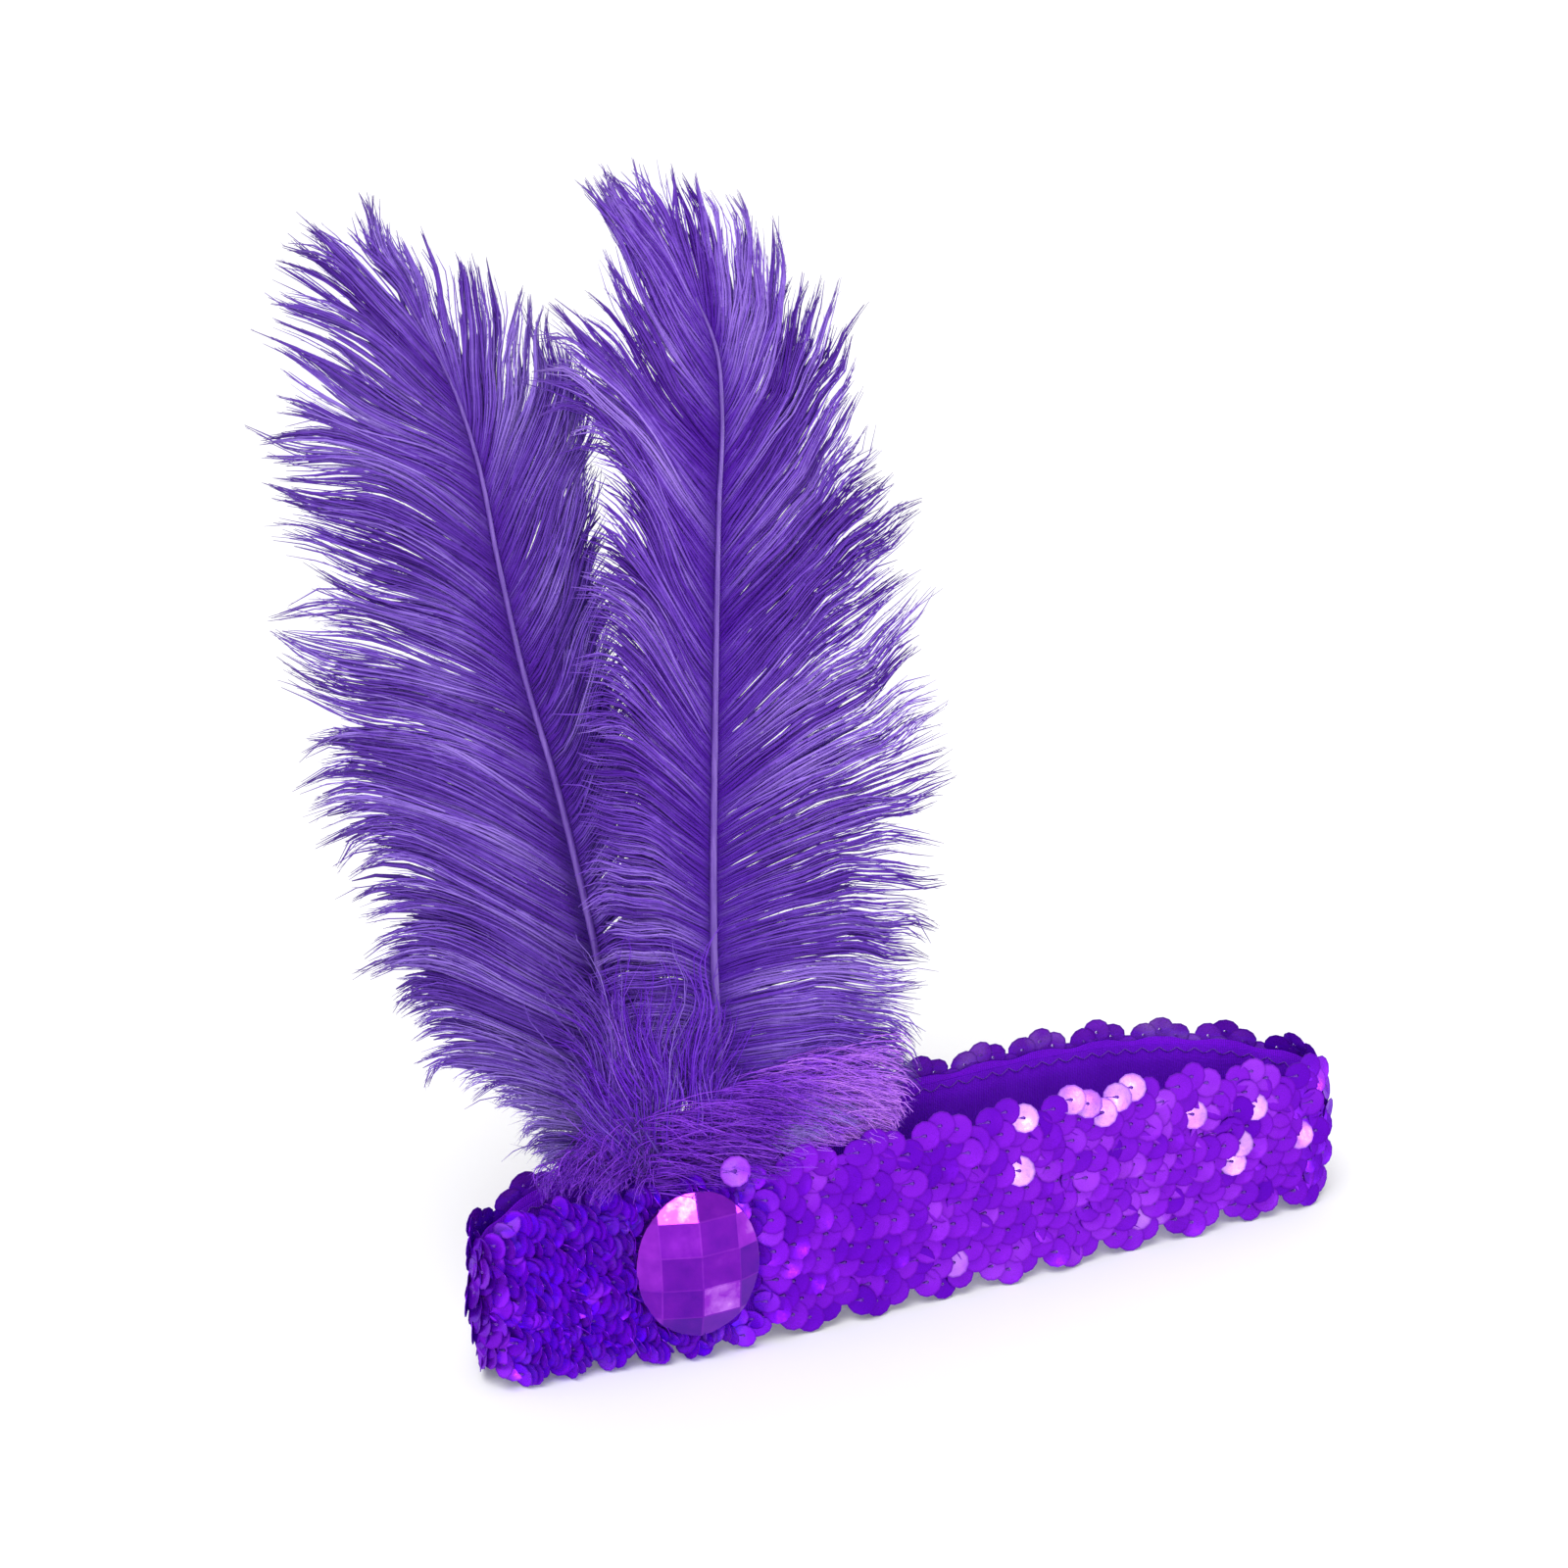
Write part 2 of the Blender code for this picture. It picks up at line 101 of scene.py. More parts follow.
# ---------------------------------------------------------------- the plumes
PLUME_COLUMNS = ("z", "left", "quill", "right")
RIGHT_PLUME = (
    (46.0, 47.0, 58.1, 74.0), (50.0, 44.0, 58.1, 92.0), (56.0, 40.5, 58.1, 107.0),
    (64.0, 36.8, 58.1, 112.5), (80.0, 34.1, 58.2, 116.0), (100.0, 31.9, 58.3, 120.5),
    (125.0, 29.6, 59.6, 125.5), (155.0, 31.0, 61.9, 126.5), (180.0, 33.0, 64.0, 123.5),
    (205.0, 33.0, 66.4, 116.5), (225.0, 28.2, 68.7, 107.5), (240.0, 27.6, 68.4, 103.4),
    (254.0, 36.5, 63.2, 96.0), (266.0, 40.0, 57.2, 82.0), (280.5, 42.5, 53.6, 67.5),
)
LEFT_PLUME = (
    (46.0, 10.5, 40.8, 53.0), (52.0, 8.9, 40.0, 54.0), (60.0, 6.5, 38.6, 54.4),
    (70.0, -2.8, 37.0, 54.3), (82.0, -11.2, 35.2, 54.0), (100.0, -18.2, 32.9, 52.4),
    (122.0, -25.0, 29.6, 51.0), (145.0, -32.5, 25.6, 49.6), (170.0, -34.2, 20.4, 48.4),
    (195.0, -35.2, 16.8, 42.6), (220.0, -34.2, 13.8, 37.4), (236.0, -33.2, 9.8, 32.0),
    (252.0, -30.6, 2.8, 27.0), (263.0, -27.0, -2.3, 12.0), (274.0, -15.5, -9.6, -2.6),
)
PLUMES = {"right": RIGHT_PLUME, "left": LEFT_PLUME}
PLUME_Y = {"right": -4.4, "left": 6.2}
PLUME_BOW, PLUME_BOW_FROM, PLUME_BOW_Z = 14.0, 50.0, 280.0
QUILL_FOOT_Z = 9.0
QUILL_FOOT_X = {"right": 58.4, "left": 47.4}
QUILL_TOP_Z = {"right": 270.0, "left": 262.0}
QUILL_FOOT_RADIUS, QUILL_TOP_RADIUS = 1.25, 0.34
VANE_CUP, CUP_WIDTH = 7.0, 60.0

# One row for each lock of barbs, from the tip of the plume to its foot: where
# its barbs leave the quill, where their tips meet, the way they leave and the
# way they end in degrees from +X, and how far the tip hangs forward.
LOCK_COLUMNS = ("root_z", "tip_x", "tip_z", "leaves", "ends", "forward")
RIGHT_OUTER_LOCKS = (
    (248, 49, 282, 115, 136, 0), (245, 60, 281, 100, 111, 0), (241, 67, 279, 74, 96, 0),
    (231, 76, 274, 59, 91, 0), (225, 80, 268, 55, 94, 0), (219, 85, 266, 53, 102, 0),
    (211, 92, 256, 45, 90, 0), (205, 97, 255, 43, 81, 0), (200, 103, 248, 41, 65, 0),
    (194, 105, 243, 39, 63, 0), (186, 104, 231, 37, 76, 0), (178, 109, 218, 34, 46, 0),
    (171, 113, 208, 32, 34, 0), (159, 120, 198, 30, 7, 0), (151, 121, 184, 28, 10, 0),
    (144, 123, 179, 28, 47, 0), (137, 124, 168, 25, 37, 0), (132, 128, 156, 21, 25, 0),
    (128, 128, 150, 19, 23, 0), (122, 127, 135, 15, 14, 0), (117, 127, 126, 13, -4, 0),
    (113, 126, 114, 11, -21, 0), (107, 121, 106, 6, -18, 0), (101, 119, 93, 5, -29, 0),
    (96, 118, 87, 2, -26, 0), (88, 116, 77, 2, -32, 1), (81, 114, 63, -1, -50, 2),
    (74, 112, 57, -2, -62, 3), (69, 110, 52, -5, -67, 5), (64, 103, 48, -8, -66, 7),
    (59, 91, 49, -11, -53, 8), (54, 77, 51, -14, -43, 8),
)
RIGHT_INNER_LOCKS = (
    (245, 44, 281, 126, 138, 0), (233, 40, 279, 128, 134, 0), (230, 40, 275, 129, 144, 0),
    (225, 40, 271, 130, 138, 0), (222, 40, 265, 132, 115, 0), (218, 41, 260, 134, 140, 0),
    (214, 37, 255, 134, 137, 0), (210, 33, 254, 133, 127, 0), (206, 30, 251, 133, 137, 0),
    (202, 26, 247, 133, 164, 0), (197, 24, 241, 132, 172, 0), (192, 24, 236, 132, 179, 0),
    (186, 26, 230, 131, 186, 0), (179, 33, 223, 130, 194, 0), (174, 38, 217, 130, 165, 0),
    (167, 36, 207, 132, 151, 0), (161, 37, 198, 133, 159, 0), (154, 34, 189, 133, 162, 0),
    (146, 32, 178, 134, 167, 0), (138, 29, 165, 136, 172, 0), (128, 27, 150, 137, 179, 0),
    (117, 25, 135, 140, 183, 0), (106, 25, 119, 142, 189, 0), (92, 26, 100, 144, 195, 0),
    (78, 28, 81, 147, 205, 0), (62, 32, 64, 150, 217, 0),
)
LEFT_INNER_LOCKS = (
    (246, -10, 273, 107, 124, 0), (243, -7, 275, 109, 109, 0), (235, -3, 274, 108, 101, 0),
    (231, 1, 272, 103, 90, 0), (227, 6, 270, 91, 99, 0), (223, 10, 266, 80, 107, 0),
    (220, 14, 266, 74, 103, 0), (216, 17, 262, 70, 108, 0), (212, 25, 256, 66, 99, 0),
    (209, 30, 256, 63, 95, 0), (203, 34, 252, 60, 94, 0), (199, 37, 246, 58, 90, 0),
    (193, 38, 238, 56, 80, 0), (187, 39, 229, 54, 74, 0), (181, 40, 220, 52, 69, 0),
    (174, 40, 211, 50, 64, 0), (167, 39, 200, 47, 60, 0), (159, 40, 189, 43, 54, 0),
    (149, 42, 178, 41, 49, 0), (138, 43, 163, 40, 47, 0), (126, 45, 145, 39, 45, 0),
    (114, 47, 126, 39, 43, 0), (100, 49, 108, 39, 43, 0), (84, 50, 88, 41, 50, 0),
    (66, 50, 68, 44, 60, 0), (52, 50, 56, 44, 60, 0),
)
LEFT_OUTER_LOCKS = (
    (242, -20, 271, 128, 146, 0), (235, -23, 268, 134, 156, 0), (231, -28, 266, 136, 156, 0),
    (228, -28, 262, 137, 162, 0), (225, -28, 259, 138, 161, 0), (222, -27, 257, 139, 131, 0),
    (219, -31, 252, 141, 135, 0), (216, -31, 245, 141, 135, 0), (213, -30, 238, 142, 141, 0),
    (209, -28, 232, 142, 174, 0), (207, -32, 229, 142, 172, 0), (202, -35, 227, 142, 178, 0),
    (197, -33, 223, 142, 174, 0), (192, -34, 216, 142, 163, 0), (184, -33, 211, 142, 196, 0),
    (177, -35, 206, 141, 178, 0), (170, -26, 199, 141, 144, 0), (164, -35, 192, 141, 178, 0),
    (158, -37, 187, 144, 133, 0), (149, -33, 177, 145, 154, 0), (143, -34, 171, 146, 170, 0),
    (136, -31, 162, 148, 149, 0), (131, -32, 156, 149, 211, 0), (124, -33, 148, 152, 211, 0),
    (118, -31, 140, 153, 209, 0), (112, -29, 136, 154, 202, 0), (105, -27, 130, 156, 219, 0),
    (99, -25, 126, 157, 217, 0), (93, -24, 117, 159, 202, 0), (87, -22, 108, 161, 209, 0),
    (81, -21, 102, 162, 215, 0), (75, -15, 94, 164, 235, 0), (70, -14, 90, 166, 227, 0),
    (65, -8, 74, 169, 240, 0), (61, -1, 71, 173, 212, 0), (57, 5, 66, 179, 220, 0),
    (53, 11, 56, 187, 237, 3), (49, 14, 51, 195, 245, 6),
)

BARB_STEPS = 10
BARB_RADIUS = 0.27
BARBULE_LENGTH = 3.2
BARBULE_RADIUS = 0.075


def place(points):
    """Layout millimetres to row-frame metres."""
    return (np.asarray(points, float) - LAYOUT_ORIGIN) * MM


# ============================================================ mesh building
def make_object(name, points, faces, material, smooth=True):
    mesh = bpy.data.meshes.new(name)
    mesh.from_pydata(place(points).tolist(), [], faces)
    mesh.validate()
    mesh.materials.append(material)
    if smooth:
        mesh.shade_smooth()
    item = bpy.data.objects.new(name, mesh)
    bpy.context.scene.collection.objects.link(item)
    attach(item, "root")
    return item


def add_number(item, name, values):
    attribute = item.data.attributes.new(name, "FLOAT", "POINT")
    attribute.data.foreach_set("value", np.asarray(values, np.float32))


def smoothstep(t):
    t = np.clip(t, 0.0, 1.0)
    return t * t * (3.0 - 2.0 * t)


def unit(v):
    return v / np.maximum(np.linalg.norm(v, axis=-1, keepdims=True), 1e-9)


def tubes(paths, radii, across, sides=3, flat=1.0):
    """Closed tapered tubes along many paths at once. paths is (n, m, 3), radii
    (n, m); across is a direction no path runs along, and flat thins each tube
    that way."""
    n, m, _ = paths.shape
    tangent = unit(np.gradient(paths, axis=1))
    ref = np.broadcast_to(across, paths.shape)
    side = unit(ref - np.sum(ref * tangent, -1, keepdims=True) * tangent)
    other = np.cross(tangent, side)
    rings = []
    for k in range(sides):
        a = 2.0 * math.pi * k / sides
        rings.append(
            paths + radii[..., None] * (math.cos(a) * flat * side + math.sin(a) * other)
        )
    points = np.stack(rings, 2).reshape(-1, 3)
    start = (np.arange(n) * m * sides)[:, None, None]
    ring = (np.arange(m - 1) * sides)[None, :, None]
    k = np.arange(sides)[None, None, :]
    nk = (k + 1) % sides
    a = start + ring + k
    b = start + ring + nk
    quads = np.stack([a, b, b + sides, a + sides], -1).reshape(-1, 4)
    first = (np.arange(n) * m * sides)[:, None] + np.arange(sides)[::-1][None]
    last = (np.arange(n) * m * sides + (m - 1) * sides)[:, None] + np.arange(sides)
    return points, quads.tolist() + first.tolist() + last.tolist()


def spikes(foot, way, length, radius):
    """Thin three-sided needles, closed at the foot."""
    n = len(foot)
    ref = np.where(np.abs(way[:, 1:2]) > 0.8, [[1.0, 0.0, 0.0]], [[0.0, 1.0, 0.0]])
    side = unit(np.cross(way, ref))
    other = np.cross(way, side)
    corners = [
        foot + radius[:, None] * (math.cos(a) * side + math.sin(a) * other)
        for a in (0.0, 2.0944, 4.1888)
    ]
    tip = foot + way * length[:, None]
    points = np.stack([*corners, tip], 1).reshape(-1, 3)
    base = np.arange(n)[:, None] * 4
    faces = np.concatenate(
        [base + f for f in ([0, 1, 3], [1, 2, 3], [2, 0, 3], [2, 1, 0])]
    )
    return points, faces.tolist()


def merge(*parts):
    """Joins (points, faces) pairs into one."""
    points, faces, count = [], [], 0
    for p, f in parts:
        points.append(p)
        faces += [[v + count for v in face] for face in f]
        count += len(p)
    return np.vstack(points), faces


# ============================================================ loop geometry
def closed_curve(stations, steps=40):
    p = np.array(stations, float)
    t = (np.arange(steps) / steps)[:, None]
    spans = []
    for k in range(len(p)):
        a, b, c, d = (p[(k + j) % len(p)] for j in (-1, 0, 1, 2))
        spans.append(
            0.5
            * (
                2 * b
                + (c - a) * t
                + (2 * a - 5 * b + 4 * c - d) * t**2
                + (3 * b - a - 3 * c + d) * t**3
            )
        )
    return np.vstack(spans)


class Loop:
    def __init__(self, stations):
        points = closed_curve(stations)
        self.closed = np.vstack([points, points[:1]])
        steps = np.linalg.norm(np.diff(self.closed, axis=0), axis=1)
        self.arc = np.concatenate([[0.0], np.cumsum(steps)])
        self.length = float(self.arc[-1])
        fine = np.linspace(0.0, self.length, 4001)
        gathered = 1.0 / (1.0 + np.exp((fine - GATHERED_LENGTH) / 2.0))
        pitch = SCALLOP_PITCH + (SCALLOP_PITCH_GATHERED - SCALLOP_PITCH) * gathered
        rate = 1.0 / pitch
        phase = np.concatenate(
            [[0.0], np.cumsum(0.5 * (rate[1:] + rate[:-1]) * np.diff(fine))]
        )
        self.scallops = round(float(phase[-1]))
        self.phase = phase * self.scallops / phase[-1]
        self.fine = fine

    def at(self, s):
        s = np.asarray(s, float) % self.length
        return np.stack(
            [np.interp(s, self.arc, self.closed[:, k]) for k in (0, 1)], -1
        )

    def normal(self, s):
        ahead = self.at(np.asarray(s) + 1.2) - self.at(np.asarray(s) - 1.2)
        ahead /= np.linalg.norm(ahead, axis=-1, keepdims=True)
        return np.stack([ahead[..., 1], -ahead[..., 0]], -1)

    def station(self, scallop):
        """Arc length at a count of scallops, whole numbers being the tips."""
        turn = (np.asarray(scallop, float) + SCALLOP_SHIFT) % self.scallops
        return np.interp(turn, self.phase, self.fine)

    def scallop(self, s):
        return np.interp(np.asarray(s) % self.length, self.fine, self.phase) - SCALLOP_SHIFT


LOOP = Loop(LOOP_STATIONS)


def height_at(x):
    along = np.clip(np.abs(x - LOOP_MID_X) / LOOP_HALF_X, 0.0, 1.0)
    drop = np.where(x < LOOP_MID_X, TRIM_END_DROP["left"], TRIM_END_DROP["right"])
    return TRIM_HEIGHT - drop * along**2.5


def bulge_at(x, z, height):
    along = np.clip(np.abs(x - LOOP_MID_X) / LOOP_HALF_X, 0.0, 1.0)
    most = BULGE_MIDDLE + (BULGE_END - BULGE_MIDDLE) * along**3
    return most * (1.0 - np.abs(2.0 * z / height - 1.0))


def wall(s, z, out):
    """Points at arc length s and height z, out from the trim's outer face."""
    base, normal = LOOP.at(s), LOOP.normal(s)
    x = base[..., 0]
    flat = base + normal * (bulge_at(x, z, height_at(x)) + out)[..., None]
    return np.concatenate([flat, np.asarray(z, float)[..., None]], -1)


def edge_swing(scallop):
    """0 at a scallop's tip, 1 in the notches."""
    off = np.abs(scallop - np.round(scallop))
    return smoothstep((off - 0.10) / 0.38)


# ================================================================ materials
def new_material(name):
    material = bpy.data.materials.new(name)
    material.use_nodes = True
    tree = material.node_tree
    return material, tree, tree.nodes["Principled BSDF"]


def node(tree, kind, **settings):
    made = tree.nodes.new(kind)
    for key, value in settings.items():
        setattr(made, key, value)
    return made


def attribute(tree, name):
    return node(tree, "ShaderNodeAttribute", attribute_name=name).outputs["Fac"]


def ramp(tree, factor, stops):
    made = node(tree, "ShaderNodeValToRGB")
    made.color_ramp.interpolation = "LINEAR"
    while len(made.color_ramp.elements) < len(stops):
        made.color_ramp.elements.new(0.5)
    for element, (where, colour) in zip(made.color_ramp.elements, stops):
        element.position = where
        element.color = (*colour, 1.0)
    tree.links.new(factor, made.inputs["Fac"])
    return made.outputs["Color"]


def noise(tree, vector, scale, detail=2.0, roughness=0.5):
    made = node(tree, "ShaderNodeTexNoise")
    made.inputs["Scale"].default_value = scale
    made.inputs["Detail"].default_value = detail
    made.inputs["Roughness"].default_value = roughness
    tree.links.new(vector, made.inputs["Vector"])
    return made.outputs["Fac"]


def span(tree, value, low, high, to_low, to_high):
    made = node(tree, "ShaderNodeMapRange")
    for key, number in (
        ("From Min", low), ("From Max", high), ("To Min", to_low), ("To Max", to_high)
    ):
        made.inputs[key].default_value = number
    tree.links.new(value, made.inputs["Value"])
    return made.outputs["Result"]


def maths(tree, operation, a, b):
    made = node(tree, "ShaderNodeMath", operation=operation)
    for socket, value in zip(made.inputs, (a, b)):
        if isinstance(value, (int, float)):
            socket.default_value = value
        else:
            tree.links.new(value, socket)
    return made.outputs["Value"]


def mix(tree, factor, a, b, blend="MIX"):
    made = node(tree, "ShaderNodeMix", data_type="RGBA", blend_type=blend)
    if isinstance(factor, (int, float)):
        made.inputs[0].default_value = factor
    else:
        tree.links.new(factor, made.inputs[0])
    for socket, value in ((made.inputs[6], a), (made.inputs[7], b)):
        if isinstance(value, tuple):
            socket.default_value = (*value, 1.0)
        else:
            tree.links.new(value, socket)
    return made.outputs[2]


def bump(tree, shader, height, strength, distance):
    made = node(tree, "ShaderNodeBump")
    made.inputs["Strength"].default_value = strength
    made.inputs["Distance"].default_value = distance
    tree.links.new(height, made.inputs["Height"])
    tree.links.new(made.outputs["Normal"], shader.inputs["Normal"])


def object_coordinates(tree):
    return node(tree, "ShaderNodeTexCoord").outputs["Object"]


def sequin_material():
    material, tree, shader = new_material("sequin_foil")
    where = object_coordinates(tree)
    tone = attribute(tree, "tone")
    rim = attribute(tree, "rim")
    cloudy = noise(tree, where, 45.0, 3.0, 0.6)
    level = maths(tree, "ADD", tone, span(tree, cloudy, 0.3, 0.7, -0.12, 0.12))
    # the ramp's top stop (tone 1.0) is a painted highlight: the pink-white of a disc reflecting the key light
    body = ramp(
        tree,
        level,
        (
            (0.0, (0.075, 0.0010, 0.390)),
            (0.35, (0.120, 0.0022, 0.510)),
            (0.65, (0.210, 0.0110, 0.650)),
            (0.84, (0.320, 0.0400, 0.790)),
            (1.0, (0.640, 0.3000, 0.920)),
        ),
    )
    # painted light: the gathered discs are mixed towards a bright violet-blue, making up for the shade the crowded
    # discs cast on each other
    body = mix(tree, attribute(tree, "gathered"), body, (0.250, 0.0040, 0.960))
    # painted shade: each sequin's rim is darkened, standing in for the shade where the discs overlap each other
    edge = span(tree, rim, 0.84, 1.0, 0.0, 0.65)
    edge_tint = mix(tree, edge, body, (0.085, 0.001, 0.300))
    tree.links.new(edge_tint, shader.inputs["Base Color"])
    fine = noise(tree, where, 900.0, 3.0, 0.65)
    tree.links.new(span(tree, fine, 0.3, 0.7, 0.20, 0.38), shader.inputs["Roughness"])
    shader.inputs["Metallic"].default_value = 0.55
    shader.inputs["Specular IOR Level"].default_value = 0.25
    shader.inputs["Specular Tint"].default_value = (0.62, 0.20, 1.0, 1.0)
    ripple = noise(tree, where, 260.0, 2.0, 0.5)
    bump(tree, shader, ripple, 0.25, 0.0004)
    return material


def knit_material(name, dark, light, ribs_per_mm, depth):
    """Stretch knit: upright ribs of small loops, in the cloth's own plane."""
    material, tree, shader = new_material(name)
    cloth = node(tree, "ShaderNodeUVMap", uv_map="cloth").outputs["UV"]
    where = object_coordinates(tree)
    wave = node(tree, "ShaderNodeTexWave", wave_type="BANDS", bands_direction="X")
    wave.inputs["Scale"].default_value = ribs_per_mm * 0.318
    wave.inputs["Distortion"].default_value = 0.6
    wave.inputs["Detail"].default_value = 1.0
    wave.inputs["Detail Scale"].default_value = 1.5
    tree.links.new(cloth, wave.inputs["Vector"])
    loops = node(tree, "ShaderNodeTexWave", wave_type="BANDS", bands_direction="Y")
    loops.inputs["Scale"].default_value = ribs_per_mm * 0.42
    loops.inputs["Distortion"].default_value = 2.2
    loops.inputs["Detail"].default_value = 1.0
    tree.links.new(cloth, loops.inputs["Vector"])
    both = maths(
        tree,
        "MULTIPLY_ADD",
        wave.outputs["Fac"],
        0.65,
    )
    both.node.inputs[2].default_value = 0.0
    weave = maths(tree, "ADD", both, maths(tree, "MULTIPLY", loops.outputs["Fac"], 0.35))
    cloudy = noise(tree, where, 60.0, 4.0, 0.6)
    level = maths(
        tree,
        "ADD",
        span(tree, weave, 0.1, 0.9, 0.15, 0.75),
        span(tree, cloudy, 0.3, 0.7, -0.18, 0.18),
    )
    tree.links.new(ramp(tree, level, ((0.0, dark), (1.0, light))), shader.inputs["Base Color"])
    fuzz = noise(tree, where, 1400.0, 2.0, 0.6)
    tree.links.new(span(tree, fuzz, 0.3, 0.7, 0.62, 0.9), shader.inputs["Roughness"])
    shader.inputs["Specular IOR Level"].default_value = 0.08
    shader.inputs["Sheen Weight"].default_value = 0.08
    shader.inputs["Sheen Roughness"].default_value = 0.4
    shader.inputs["Sheen Tint"].default_value = (0.45, 0.08, 1.0, 1.0)
    height = maths(tree, "ADD", weave, maths(tree, "MULTIPLY", fuzz, 0.25))
    bump(tree, shader, height, 0.7, depth)
    return material


def feather_material(name, root, deep, middle, pale, tip):
    """Dyed barbs: deep colour at the quill, partly deeper dye and partly painted
    shade, paler and greyer to the tips, each barb with its own tone, and a fine
    bump of the barbules along it."""
    material, tree, shader = new_material(name)
    where = object_coordinates(tree)
    tone = attribute(tree, "tone")
    along = attribute(tree, "along")
    cloudy = noise(tree, where, 38.0, 3.0, 0.55)
    streak = noise(tree, where, 420.0, 2.0, 0.6)
    level = maths(
        tree,
        "ADD",
        tone,
        maths(
            tree,
            "ADD",
            span(tree, cloudy, 0.3, 0.7, -0.16, 0.16),
            span(tree, streak, 0.3, 0.7, -0.09, 0.09),
        ),
    )
    body = ramp(tree, level, ((0.0, deep), (0.5, middle), (1.0, pale)))
    # towards the quill the barbs darken to the root colour: deeper dye together with painted shade
    near = span(tree, along, 0.0, 0.34, 0.85, 0.0)
    shaded = mix(tree, near, body, root)
    far = span(tree, along, 0.80, 1.0, 0.0, 0.75)
    tree.links.new(mix(tree, far, shaded, tip), shader.inputs["Base Color"])
    tree.links.new(span(tree, streak, 0.3, 0.7, 0.42, 0.66), shader.inputs["Roughness"])
    shader.inputs["Specular IOR Level"].default_value = 0.10
    shader.inputs["Sheen Weight"].default_value = 0.06
    shader.inputs["Sheen Roughness"].default_value = 0.35
    shader.inputs["Sheen Tint"].default_value = (0.60, 0.40, 1.0, 1.0)
    barbules = noise(tree, where, 2600.0, 1.0, 0.5)
    bump(tree, shader, barbules, 0.5, 0.0002)
    return material


def quill_material():
    material, tree, shader = new_material("quill_horn")
    where = object_coordinates(tree)
    stretch = node(tree, "ShaderNodeMapping")
    stretch.inputs["Scale"].default_value = (1.0, 1.0, 0.06)
    tree.links.new(where, stretch.inputs["Vector"])
    grain = noise(tree, stretch.outputs["Vector"], 1600.0, 3.0, 0.6)
    cloudy = noise(tree, where, 55.0, 2.0, 0.5)
    level = maths(
        tree,
        "ADD",
        span(tree, grain, 0.3, 0.7, 0.2, 0.8),
        span(tree, cloudy, 0.3, 0.7, -0.2, 0.2),
    )
    body = ramp(
        tree,
        level,
        ((0.0, (0.075, 0.022, 0.250)), (0.5, (0.115, 0.042, 0.340)), (1.0, (0.200, 0.100, 0.470))),
    )
    tree.links.new(body, shader.inputs["Base Color"])
    tree.links.new(span(tree, grain, 0.3, 0.7, 0.30, 0.52), shader.inputs["Roughness"])
    shader.inputs["Coat Weight"].default_value = 0.2
    shader.inputs["Coat Roughness"].default_value = 0.25
    bump(tree, shader, grain, 0.35, 0.0002)
    return material


def gem_material():
    """Tinted acrylic over a foil back: the foil's crumpled brightness shows through
    each facet, together with a painted highlight and shade per facet, and the
    eased edges between facets are a little paler."""
    material, tree, shader = new_material("gem_acrylic")
    where = object_coordinates(tree)
    facet = attribute(tree, "facet")
    edge_tint = attribute(tree, "edge_tint")
    foil = noise(tree, where, 130.0, 4.0, 0.65)
    cell = node(tree, "ShaderNodeTexVoronoi", feature="F1")
    cell.inputs["Scale"].default_value = 190.0
    tree.links.new(where, cell.inputs["Vector"])
    level = maths(
        tree,
        "ADD",
        facet,
        maths(
            tree,
            "ADD",
            span(tree, foil, 0.3, 0.7, -0.13, 0.13),
            span(tree, cell.outputs["Distance"], 0.0, 1.0, 0.10, -0.10),
        ),
    )
    # the upper stops, pinker and paler, carry the painted highlight of the facets charted as catching the light
    body = ramp(
        tree,
        level,
        (
            (0.0, (0.085, 0.002, 0.330)),
            (0.4, (0.175, 0.006, 0.440)),
            (0.72, (0.300, 0.022, 0.600)),
            (0.9, (0.560, 0.170, 0.830)),
            (1.0, (0.850, 0.460, 0.930)),
        ),
    )
    tree.links.new(mix(tree, edge_tint, body, (0.300, 0.040, 0.600)), shader.inputs["Base Color"])
    fine = noise(tree, where, 700.0, 2.0, 0.5)
    tree.links.new(span(tree, fine, 0.3, 0.7, 0.09, 0.16), shader.inputs["Roughness"])
    shader.inputs["Metallic"].default_value = 0.85
    shader.inputs["Specular IOR Level"].default_value = 0.3
    shader.inputs["Coat Weight"].default_value = 0.04
    shader.inputs["Coat Roughness"].default_value = 0.05
    bump(tree, shader, fine, 0.04, 0.0002)
    return material


def thread_material(name, dark, light):
    material, tree, shader = new_material(name)
    where = object_coordinates(tree)
    twist = node(tree, "ShaderNodeTexWave", wave_type="BANDS", bands_direction="DIAGONAL")
    twist.inputs["Scale"].default_value = 900.0
    twist.inputs["Distortion"].default_value = 1.0
    tree.links.new(where, twist.inputs["Vector"])
    tree.links.new(
        ramp(tree, twist.outputs["Fac"], ((0.0, dark), (1.0, light))),
        shader.inputs["Base Color"],
    )
    tree.links.new(span(tree, twist.outputs["Fac"], 0.0, 1.0, 0.7, 0.45), shader.inputs["Roughness"])
    bump(tree, shader, twist.outputs["Fac"], 0.5, 0.0002)
    return material


def floor_material():
    material, tree, shader = new_material("pale_floor")
    where = object_coordinates(tree)
    cloudy = noise(tree, where, 3.0, 3.0, 0.5)
    tree.links.new(
        ramp(tree, cloudy, ((0.0, (0.955, 0.955, 0.958)), (1.0, (0.975, 0.975, 0.978)))),
        shader.inputs["Base Color"],
    )
    fine = noise(tree, where, 400.0, 2.0, 0.5)
    tree.links.new(span(tree, fine, 0.3, 0.7, 0.75, 0.9), shader.inputs["Roughness"])
    shader.inputs["Specular IOR Level"].default_value = 0.2
    return material


